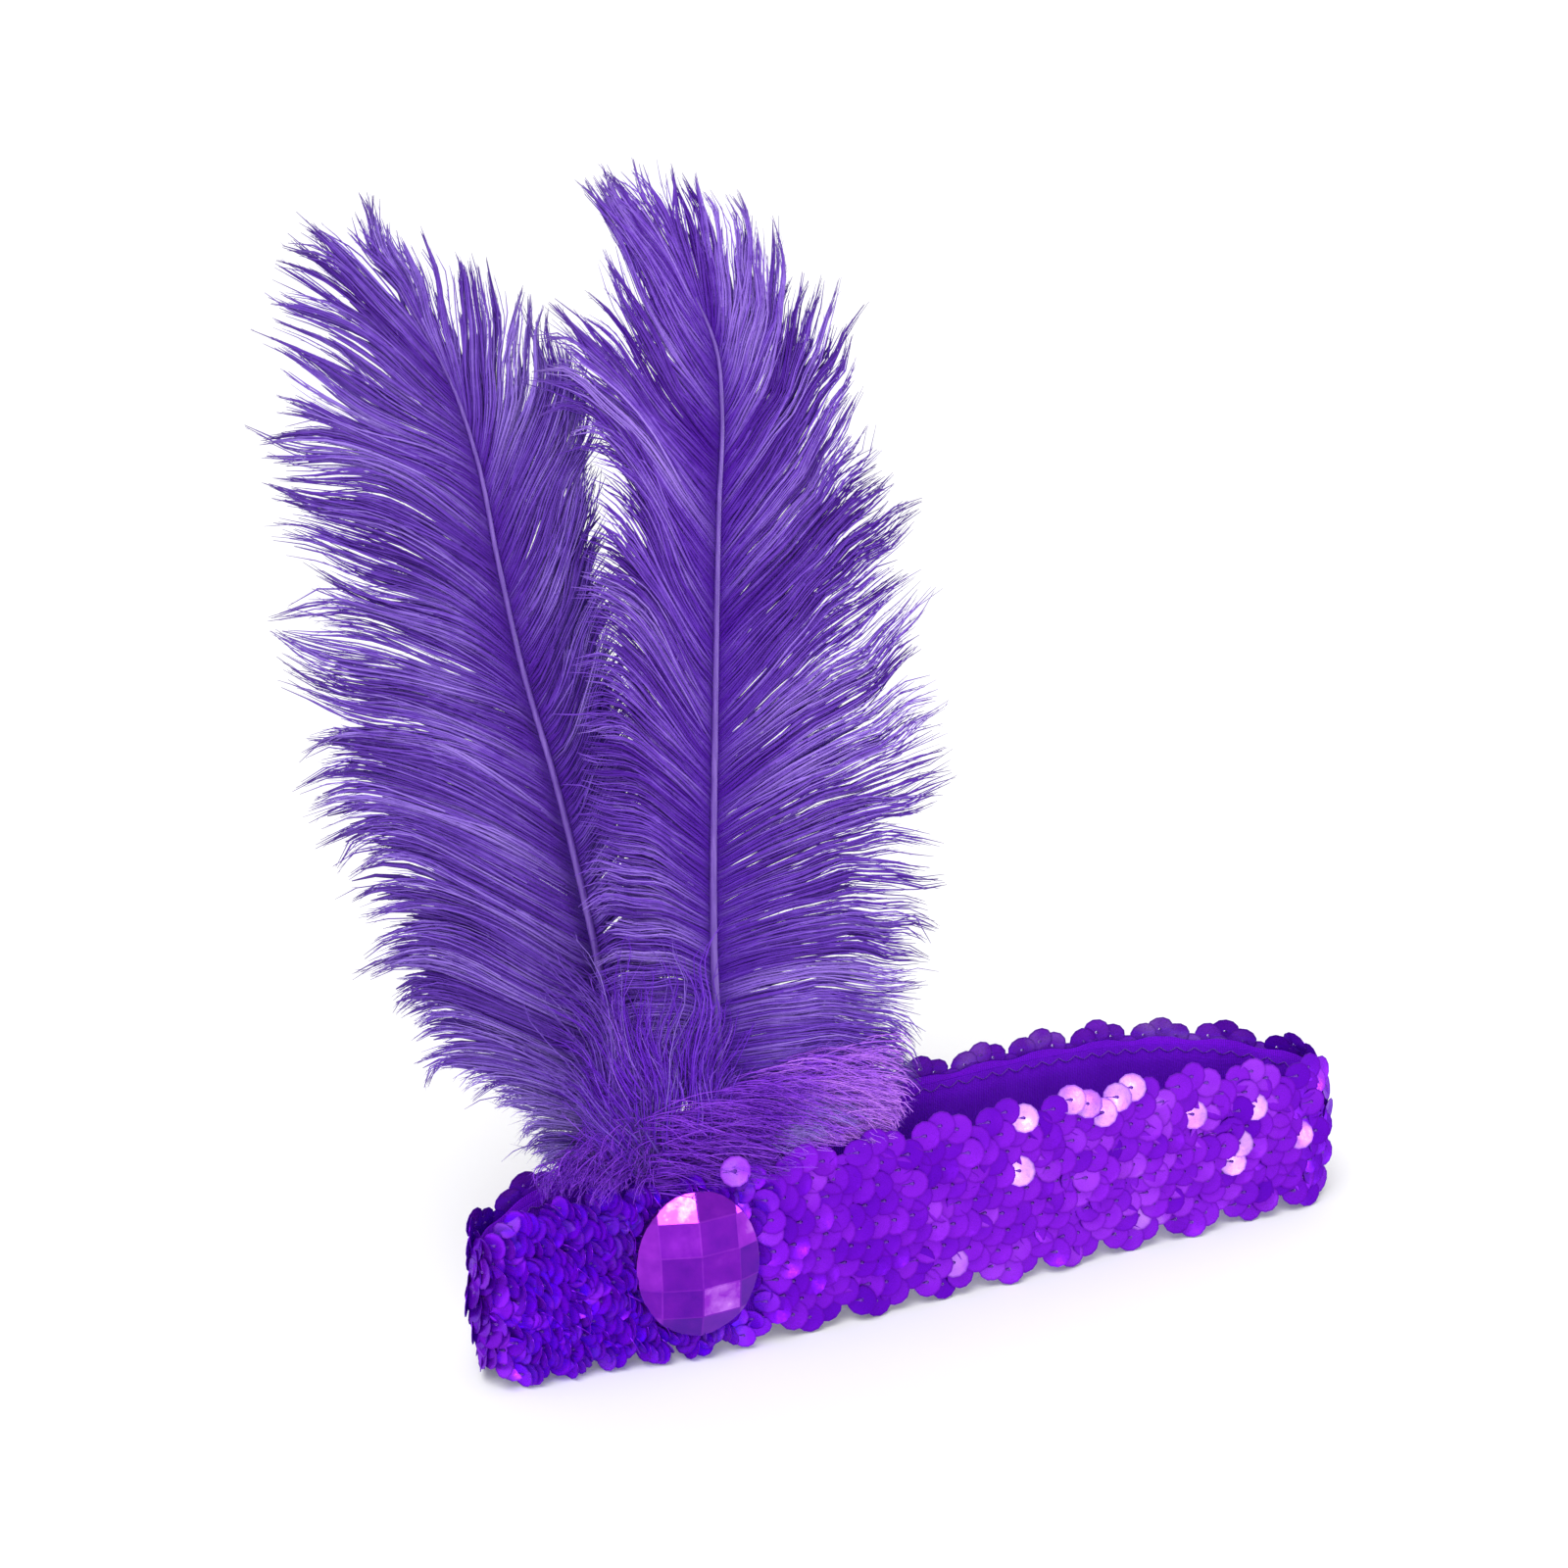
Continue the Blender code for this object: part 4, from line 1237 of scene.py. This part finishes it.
    x, z = flat[..., 0], flat[..., 1]
    z = np.maximum(z, 44.5)
    thin = 1.0 - 0.35 * smoothstep((root_z - 215.0) / 30.0)
    depth = rng.normal(0.0, 0.8, count)
    spread = depth[:, None] * (0.5 + 0.5 * t) * (1.0 - 0.7 * w)
    spread += strand_layer[f][:, None] * 0.95 * smoothstep(t * 1.3)
    spread += (1.3 * fill + 0.7 * haze)[:, None] * smoothstep(t * 2.0)
    spread = 0.25 + (spread - 0.25) * smoothstep(0.1 + t * 6.0)
    away = (x - quill_x(side, z)) / CUP_WIDTH
    y = plume_y(side, z) + cup * away**2 + spread * thin[:, None]
    y -= own[:, 5:6] * t**1.6
    paths = np.stack([x, y, z], -1)

    base = BARB_RADIUS * rng.uniform(0.70, 1.25, count)
    taper = np.linspace(0.0, 1.0, BARB_STEPS)[None]
    base = np.where(haze, (0.72 + 0.20 * spread_zone[f]) * base, base)
    radii = base[:, None] * (1.0 - 0.40 * taper) * np.where(taper > 0.999, 0.35, 1.0)
    webbed = 1.5 + 1.7 * smoothstep(taper / 0.7) - 1.3 * smoothstep((taper - 0.7) / 0.3)
    if side == "left":
        webbed = webbed * (1.0 + 0.35 * dense[:, None])
    radii = np.where(fill[:, None], radii * webbed, radii)
    down = smoothstep((72.0 - root_z) / 18.0) * outer
    radii *= 1.0 - 0.30 * down[:, None]

    tone = 0.44 + strand_tone[f] + 0.12 * rng.normal(0.0, 1.0, count) + 0.34 * down
    # the haze barbs are painted paler: light shining through the thin barbs
    tone += 0.24 * haze - 0.06 * fill + 0.10 * high[f]
    if side == "right":
        tone += 0.05 - 0.11 * smoothstep((root_z - 95.0) / 40.0)
    thin_way = np.where(fill, 0.32, 1.0)[:, None, None]
    p, faces = tubes(paths, radii, np.array([0.0, 1.0, 0.0]), flat=thin_way)
    tones = np.repeat(tone, BARB_STEPS * 3)
    soft_end = 1.0 - 0.30 * down - 0.22 * spread_zone[f] * (not outer)
    alongs = np.repeat(t * soft_end[:, None], 3, axis=1).reshape(-1)
    np_, nf, ntone, nalong = barbules(
        rng, paths, radii, tone, needles, BARBULE_LENGTH, (9.0, 30.0), 0.9 * down
    )
    points, faces = merge((p, faces), (np_, nf))
    item = make_object(name, points, faces, material)
    add_number(item, "tone", np.clip(np.concatenate([tones, ntone]), 0.0, 1.0))
    add_number(item, "along", np.clip(np.concatenate([alongs, nalong]), 0.0, 1.0))
    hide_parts(node_name)
    return item


def build_tuft(name, material, count, needles, seed, feet, height, fans, length):
    """A spray of soft barbs in front of the quills' feet. feet is the span of
    their places along the band, fans how far they splay."""
    rng = np.random.default_rng(seed)
    steps = 9
    groups = max(8, count // 18)
    g = rng.integers(0, groups, count)
    foot_x = 41.0 + rng.uniform(*feet, groups)
    foot_z = 50.0 + rng.uniform(0.0, height, groups) * (1.0 - np.minimum(((foot_x - 42.0) / 12.0) ** 2, 1.0) * 0.5)
    fan = (41.0 - foot_x[g]) / 8.0
    reach_of = rng.uniform(0.45, 1.0, groups)[g]
    bend = rng.normal(0.0, 14.0, groups)[g]
    own_way = rng.normal(0.0, 10.0, groups)[g]
    foot = np.column_stack(
        [
            foot_x[g] + rng.normal(0.0, 1.9, count),
            -8.2 + rng.normal(0.0, 0.9, count),
            foot_z[g] + rng.uniform(-3.0, 7.0, count),
        ]
    )
    loose = rng.normal(0.0, 1.0, count) * np.where(rng.random(count) < 0.45, 8.0, 2.5)
    angle = 98.0 + fans * fan + own_way + loose
    reach = length * (1.0 - 0.16 * fan**2) * reach_of * rng.uniform(0.35, 1.05, count)
    leaves = flat_angle(95.0 + 16.0 * fan + own_way)
    tip = foot[:, [0, 2]] + flat_angle(angle) * reach[:, None]
    ends = flat_angle(angle + fans * fan + bend + rng.normal(0.0, 6.0, count))
    t = np.linspace(0.0, 1.0, steps)[None, :, None]
    a = foot[:, None, [0, 2]]
    b = a + (leaves * reach[:, None] * 0.36)[:, None]
    d = tip[:, None]
    c = d - (ends * reach[:, None] * 0.34)[:, None]
    flat = bezier(a, b, c, d, t)
    share = t[..., 0]
    wander = 2.4 * share * sway(flat[..., 0], flat[..., 1], 640)
    y = (
        foot[:, 1:2]
        + rng.normal(0.0, 1.1, count)[:, None] * share
        + rng.normal(0.0, 1.0, groups)[g][:, None] * share
        + 3.2 * share**1.5
    )
    paths = np.stack([flat[..., 0] + wander, y, flat[..., 1]], -1)
    base = 0.23 * rng.uniform(0.6, 1.3, count)
    radii = base[:, None] * (1.0 - 0.6 * share) * np.where(share > 0.999, 0.3, 1.0)
    tone = 0.38 + 0.15 * rng.normal(0.0, 1.0, groups)[g] + 0.15 * rng.normal(0.0, 1.0, count)
    p, f = tubes(paths, radii, np.array([0.0, 1.0, 0.0]))
    np_, nf, ntone, nalong = barbules(
        rng, paths, radii, tone, needles, 3.8, (12.0, 38.0), np.full(count, 0.2)
    )
    points, faces = merge((p, f), (np_, nf))
    item = make_object(name, points, faces, material)
    add_number(item, "tone", np.clip(np.concatenate([np.repeat(tone, steps * 3), ntone]), 0, 1))
    shares = np.repeat(np.broadcast_to(share, (count, steps)), 3, axis=1).reshape(-1)
    add_number(item, "along", 0.10 + 0.72 * np.concatenate([shares, nalong]))
    return item


def build_fluff(material, count=2150, needles=7500, seed=91):
    """Short bright down along the plumes' feet, down to the band's edge."""
    rng = np.random.default_rng(seed)
    steps = 7
    n_right = int(count * 0.84)
    x0 = np.concatenate(
        [
            rng.uniform(34.0, 90.0, n_right // 2),
            rng.uniform(48.0, 91.0, n_right - n_right // 2),
            rng.triangular(14.0, 33.0, 44.0, count - n_right),
        ]
    )
    right = np.arange(count) < n_right
    under = rng.random(count) < 0.42
    low = 4.2 * smoothstep((62.0 - x0) / 12.0)
    up = np.where(right, np.where(under, 17.0, 20.0), 4.0 + 11.0 * smoothstep((x0 - 16.0) / 14.0))
    z0 = np.where(right, 50.0 - low, 49.5) + rng.uniform(0.0, 1.0, count) ** 1.5 * up
    y0 = np.where(right, -5.0 - 0.8 * low, -1.0 - 6.0 * smoothstep((x0 - 18.0) / 14.0))
    y0 += rng.normal(0.0, 1.4, count) + 3.0 * under * right
    reach = rng.uniform(8.0, 24.0, count) * np.where(right, 1.0, 0.46)
    lean = 0.6 * (z0 - 54.5)
    way = np.where(right, rng.normal(2.0, 10.0, count) + lean, rng.normal(180.0, 24.0, count))
    fall = np.where(right, -24.0 + rng.normal(0.0, 12.0, count), rng.normal(212.0, 20.0, count))
    a = np.column_stack([x0, z0])
    b = a + flat_angle(way) * reach[:, None] * 0.50
    d = b + flat_angle(fall) * reach[:, None] * 0.50
    c = 0.5 * (b + d) + rng.normal(0.0, 0.4, (count, 2))
    t = np.linspace(0.0, 1.0, steps)[None, :, None]
    flat = bezier(a[:, None], b[:, None], c[:, None], d[:, None], t)
    share = t[..., 0]
    y = y0[:, None] - (rng.uniform(1.5, 6.5, count))[:, None] * share**1.3
    floor = np.where(right, 49.3 - 0.8 * low, 47.6) - rng.uniform(0.0, 3.0, count) * 0.6
    z = flat[..., 1]
    z = np.where(z < floor[:, None], floor[:, None] + 0.25 * (z - floor[:, None]), z)
    x = flat[..., 0]
    left_end = 6.0 + 0.6 * np.clip(61.0 - z, 0.0, 20.0)
    x = np.where(x < left_end, left_end + 0.50 * (x - left_end), x)
    right_end = 105.0 - 0.5 * np.clip(58.0 - z, 0.0, 12.0)
    x = np.where(x > right_end, right_end + 0.30 * (x - right_end), x)
    paths = np.stack([x, y, z], -1)
    radii = 0.19 * rng.uniform(0.6, 1.25, count)[:, None] * (1.0 - 0.6 * share)
    radii *= np.where(under & right, 2.8, 1.0)[:, None]
    tone = 0.30 + 0.13 * rng.normal(0.0, 1.0, count) - 0.12 * right - 0.06 * under
    tone += 0.74 * smoothstep((x0 + 0.9 * reach * right - 62.0) / 42.0)
    thin_way = np.where(under & right, 0.4, 1.0)[:, None, None]
    p, f = tubes(paths, radii, np.array([0.0, 1.0, 0.0]), flat=thin_way)
    np_, nf, ntone, nalong = barbules(
        rng, paths, radii, tone, needles, 3.2, (16.0, 46.0), np.full(count, 0.1)
    )
    points, faces = merge((p, f), (np_, nf))
    item = make_object("down_fluff", points, faces, material)
    add_number(item, "tone", np.clip(np.concatenate([np.repeat(tone, steps * 3), ntone]), 0, 1))
    shares = np.repeat(np.broadcast_to(share, (count, steps)), 3, axis=1).reshape(-1)
    add_number(item, "along", 0.20 + 0.50 * np.concatenate([shares, nalong]))
    return item


def build_binding(thread):
    """Plain turns of thread that hold both quills' feet to the band's inside."""
    turns, steps = 9, 40
    a = np.linspace(0.0, 2.0 * math.pi, steps)
    paths = []
    for k in range(turns):
        z = 21.0 + 0.62 * k
        right = np.array([quill_x("right", z), plume_y("right", z)])
        left = np.array([quill_x("left", z), plume_y("left", z)])
        way = unit(left - right)
        out = np.array([way[1], -way[0]])
        r = float(quill_radius("right", z)) + 0.32
        ring = []
        for angle in a:
            c, s = math.cos(angle), math.sin(angle)
            centre = left if c > 0 else right
            ring.append(centre + r * (c * way + s * out))
        ring = np.array(ring)
        lift = z + 0.62 * a / (2.0 * math.pi)
        paths.append(np.column_stack([ring, lift]))
    joined = np.vstack([p[:-1] for p in paths])[None]
    p1, f1 = tubes(joined, np.full(joined.shape[:2], 0.27), UP, sides=6)
    # stitches from the right quill into the backing
    ties = []
    t = np.linspace(0.0, 1.0, 9)
    for k in range(5):
        z = 16.0 + 4.6 * k
        x, y = float(quill_x("right", z)), float(plume_y("right", z))
        r = float(quill_radius("right", z)) + 0.3
        bow = np.sin(t * math.pi)
        xs = x - 2.6 + 5.2 * t
        ys = -7.3 + (y + r + 7.3) * bow**0.6
        ties.append(np.column_stack([xs, ys, z + 0.8 * t]))
    ties = np.array(ties)
    p2, f2 = tubes(ties, np.full(ties.shape[:2], 0.25), UP, sides=6)
    p, f = merge((p1, f1), (p2, f2))
    return make_object("quill_binding", p, f, thread)


# ============================================================ stage and light
CAMERA_AT = (-0.239054, -0.545740, 0.316)
PITCH, YAW, ROLL = math.radians(17.0), math.radians(22.1), math.radians(2.0)
FOCAL_PIXELS, PICTURE = 2650.0, 1600.0


def add_camera():
    forward = Vector(
        (math.sin(YAW) * math.cos(PITCH), math.cos(YAW) * math.cos(PITCH), -math.sin(PITCH))
    )
    right = Vector((math.cos(YAW), -math.sin(YAW), 0.0))
    up = Vector(
        (math.sin(YAW) * math.sin(PITCH), math.cos(YAW) * math.sin(PITCH), math.cos(PITCH))
    )
    r2 = math.cos(ROLL) * right - math.sin(ROLL) * up
    u2 = math.sin(ROLL) * right + math.cos(ROLL) * up
    data = bpy.data.cameras.new("camera")
    data.sensor_width = 36.0
    data.lens = FOCAL_PIXELS / PICTURE * 36.0
    data.clip_start, data.clip_end = 0.01, 60.0
    camera = bpy.data.objects.new("camera", data)
    turned = Matrix((r2, u2, -forward)).transposed()
    camera.matrix_world = Matrix.Translation(CAMERA_AT) @ turned.to_4x4()
    bpy.context.scene.collection.objects.link(camera)
    bpy.context.scene.camera = camera
    return camera


def add_light(name, at, towards, size, power):
    data = bpy.data.lights.new(name, "AREA")
    data.shape = "RECTANGLE"
    data.size, data.size_y = size
    data.energy = power
    light = bpy.data.objects.new(name, data)
    way = Vector(towards) - Vector(at)
    light.location = at
    light.rotation_mode = "QUATERNION"
    light.rotation_quaternion = way.to_track_quat("-Z", "Y")
    bpy.context.scene.collection.objects.link(light)
    return light


def add_sun():
    """One broad, even light over the whole floor."""
    data = bpy.data.lights.new("sky", "SUN")
    data.energy = 1.70
    data.angle = math.radians(38.0)
    light = bpy.data.objects.new("sky", data)
    light.rotation_mode = "QUATERNION"
    light.rotation_quaternion = Vector((0.42, 0.50, -1.0)).to_track_quat("-Z", "Y")
    light.location = (0.0, 0.0, 2.0)
    bpy.context.scene.collection.objects.link(light)
    return light


def add_floor():
    rings = (0.0, 0.6, 1.2, 2.4, 5.0, 8.0, 12.0, 18.0, 26.0, 40.0)
    rises = (0.0, 0.0, 0.0, 0.0, 0.0, 0.12, 0.8, 2.8, 6.6, 15.0)
    sides = 48
    points = [(0.0, 0.0, 0.0)]
    faces = []
    for r, rise in zip(rings[1:], rises[1:]):
        for k in range(sides):
            a = 2.0 * math.pi * k / sides
            points.append((r * math.cos(a), r * math.sin(a), rise))
    for k in range(sides):
        faces.append((0, 1 + k, 1 + (k + 1) % sides))
    for ring in range(len(rings) - 2):
        for k in range(sides):
            n = (k + 1) % sides
            a = 1 + ring * sides
            b = a + sides
            faces.append((a + k, b + k, b + n, a + n))
    mesh = bpy.data.meshes.new("floor")
    mesh.from_pydata(points, [], faces)
    mesh.materials.append(floor_material())
    mesh.shade_smooth()
    floor = bpy.data.objects.new("floor", mesh)
    floor.location.z = -0.0002
    bpy.context.scene.collection.objects.link(floor)
    return floor


def add_world():
    world = bpy.data.worlds.new("studio")
    world.use_nodes = True
    background = world.node_tree.nodes["Background"]
    background.inputs["Color"].default_value = (1.0, 1.0, 1.0, 1.0)
    # the plain backdrop above the floor's rim is as white as the floor
    seen = world.node_tree.nodes.new("ShaderNodeLightPath")
    strength = world.node_tree.nodes.new("ShaderNodeMath")
    strength.operation = "MULTIPLY_ADD"
    strength.inputs[1].default_value = 0.40
    strength.inputs[2].default_value = 0.64
    world.node_tree.links.new(seen.outputs["Is Camera Ray"], strength.inputs[0])
    world.node_tree.links.new(strength.outputs[0], background.inputs["Strength"])
    bpy.context.scene.world = world


KEY_AT = (-0.42, -1.15, 0.50)
SIDE_AT = (0.95, -0.62, 0.16)


def main():
    scene = bpy.context.scene
    scene.view_settings.view_transform = "Standard"
    scene.view_settings.look = "None"
    scene.view_settings.exposure = 0.0
    scene.view_settings.gamma = 1.0

    add_camera()
    add_world()
    add_floor()
    add_sun()
    add_light("key", KEY_AT, (0.0, 0.0, 0.10), (0.30, 0.30), 3.2)
    add_light("side", SIDE_AT, (0.0, 0.0, 0.08), (0.26, 0.26), 2.0)

    eye = np.array(CAMERA_AT) / MM + LAYOUT_ORIGIN
    key = np.array(KEY_AT) / MM + LAYOUT_ORIGIN
    violet_thread = thread_material("violet_thread", (0.060, 0.002, 0.260), (0.200, 0.030, 0.560))
    build_sequins(sequin_material(), violet_thread, eye, key)
    build_cloths(
        # the trim knit's colours are raised as painted light, filling the shade seen between the gathered sequins
        # and under the down
        knit_material("trim_knit", (0.110, 0.0015, 0.520), (0.230, 0.005, 0.840), 1.6, 0.0004),
        knit_material("backing_knit", (0.105, 0.0010, 0.500), (0.200, 0.0060, 0.820), 1.9, 0.0005),
        violet_thread,
    )
    build_gem(gem_material())

    horn = quill_material()
    build_quill("right", horn)
    build_quill("left", horn)
    right = feather_material(
        "right_barbs",
        (0.056, 0.002, 0.290),
        (0.072, 0.012, 0.300),
        (0.160, 0.056, 0.510),
        (0.330, 0.190, 0.720),
        (0.105, 0.066, 0.230),
    )
    left = feather_material(
        "left_barbs",
        (0.066, 0.008, 0.290),
        (0.075, 0.018, 0.290),
        (0.155, 0.062, 0.480),
        (0.310, 0.190, 0.680),
        (0.100, 0.066, 0.220),
    )
    tuft = feather_material(
        "tuft_barbs",
        (0.080, 0.002, 0.400),
        (0.085, 0.008, 0.370),
        (0.140, 0.022, 0.570),
        (0.280, 0.105, 0.740),
        (0.140, 0.060, 0.410),
    )
    down = feather_material(
        "down",
        (0.110, 0.004, 0.470),
        (0.110, 0.008, 0.440),
        (0.300, 0.060, 0.820),
        (0.600, 0.220, 0.980),
        (0.380, 0.140, 0.780),
    )
    build_vane(
        "vane_right_outer_barbs", "right", RIGHT_OUTER_LOCKS, "vane_right_outer",
        right, 2250, 7800, 21, 0.0,
    )
    build_vane(
        "vane_right_inner_barbs", "right", RIGHT_INNER_LOCKS, "vane_right_inner",
        right, 2050, 6900, 22, 195.0,
    )
    build_vane(
        "vane_left_inner_barbs", "left", LEFT_INNER_LOCKS, "vane_left_inner",
        left, 1850, 6400, 23, 208.0,
    )
    build_vane(
        "vane_left_outer_barbs", "left", LEFT_OUTER_LOCKS, "vane_left_outer",
        left, 2350, 7800, 24, 0.0,
    )
    short = build_tuft(
        "down_tuft_barbs", tuft, 520, 4800, 77, (-10.0, 13.0), 24.0, 20.0, 46.0
    )
    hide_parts("down_tuft")
    build_tuft("down_tuft_long_barbs", left, 200, 1600, 78, (-9.0, 1.0), 16.0, 17.0, 72.0)
    build_fluff(down)
    build_binding(violet_thread)


main()
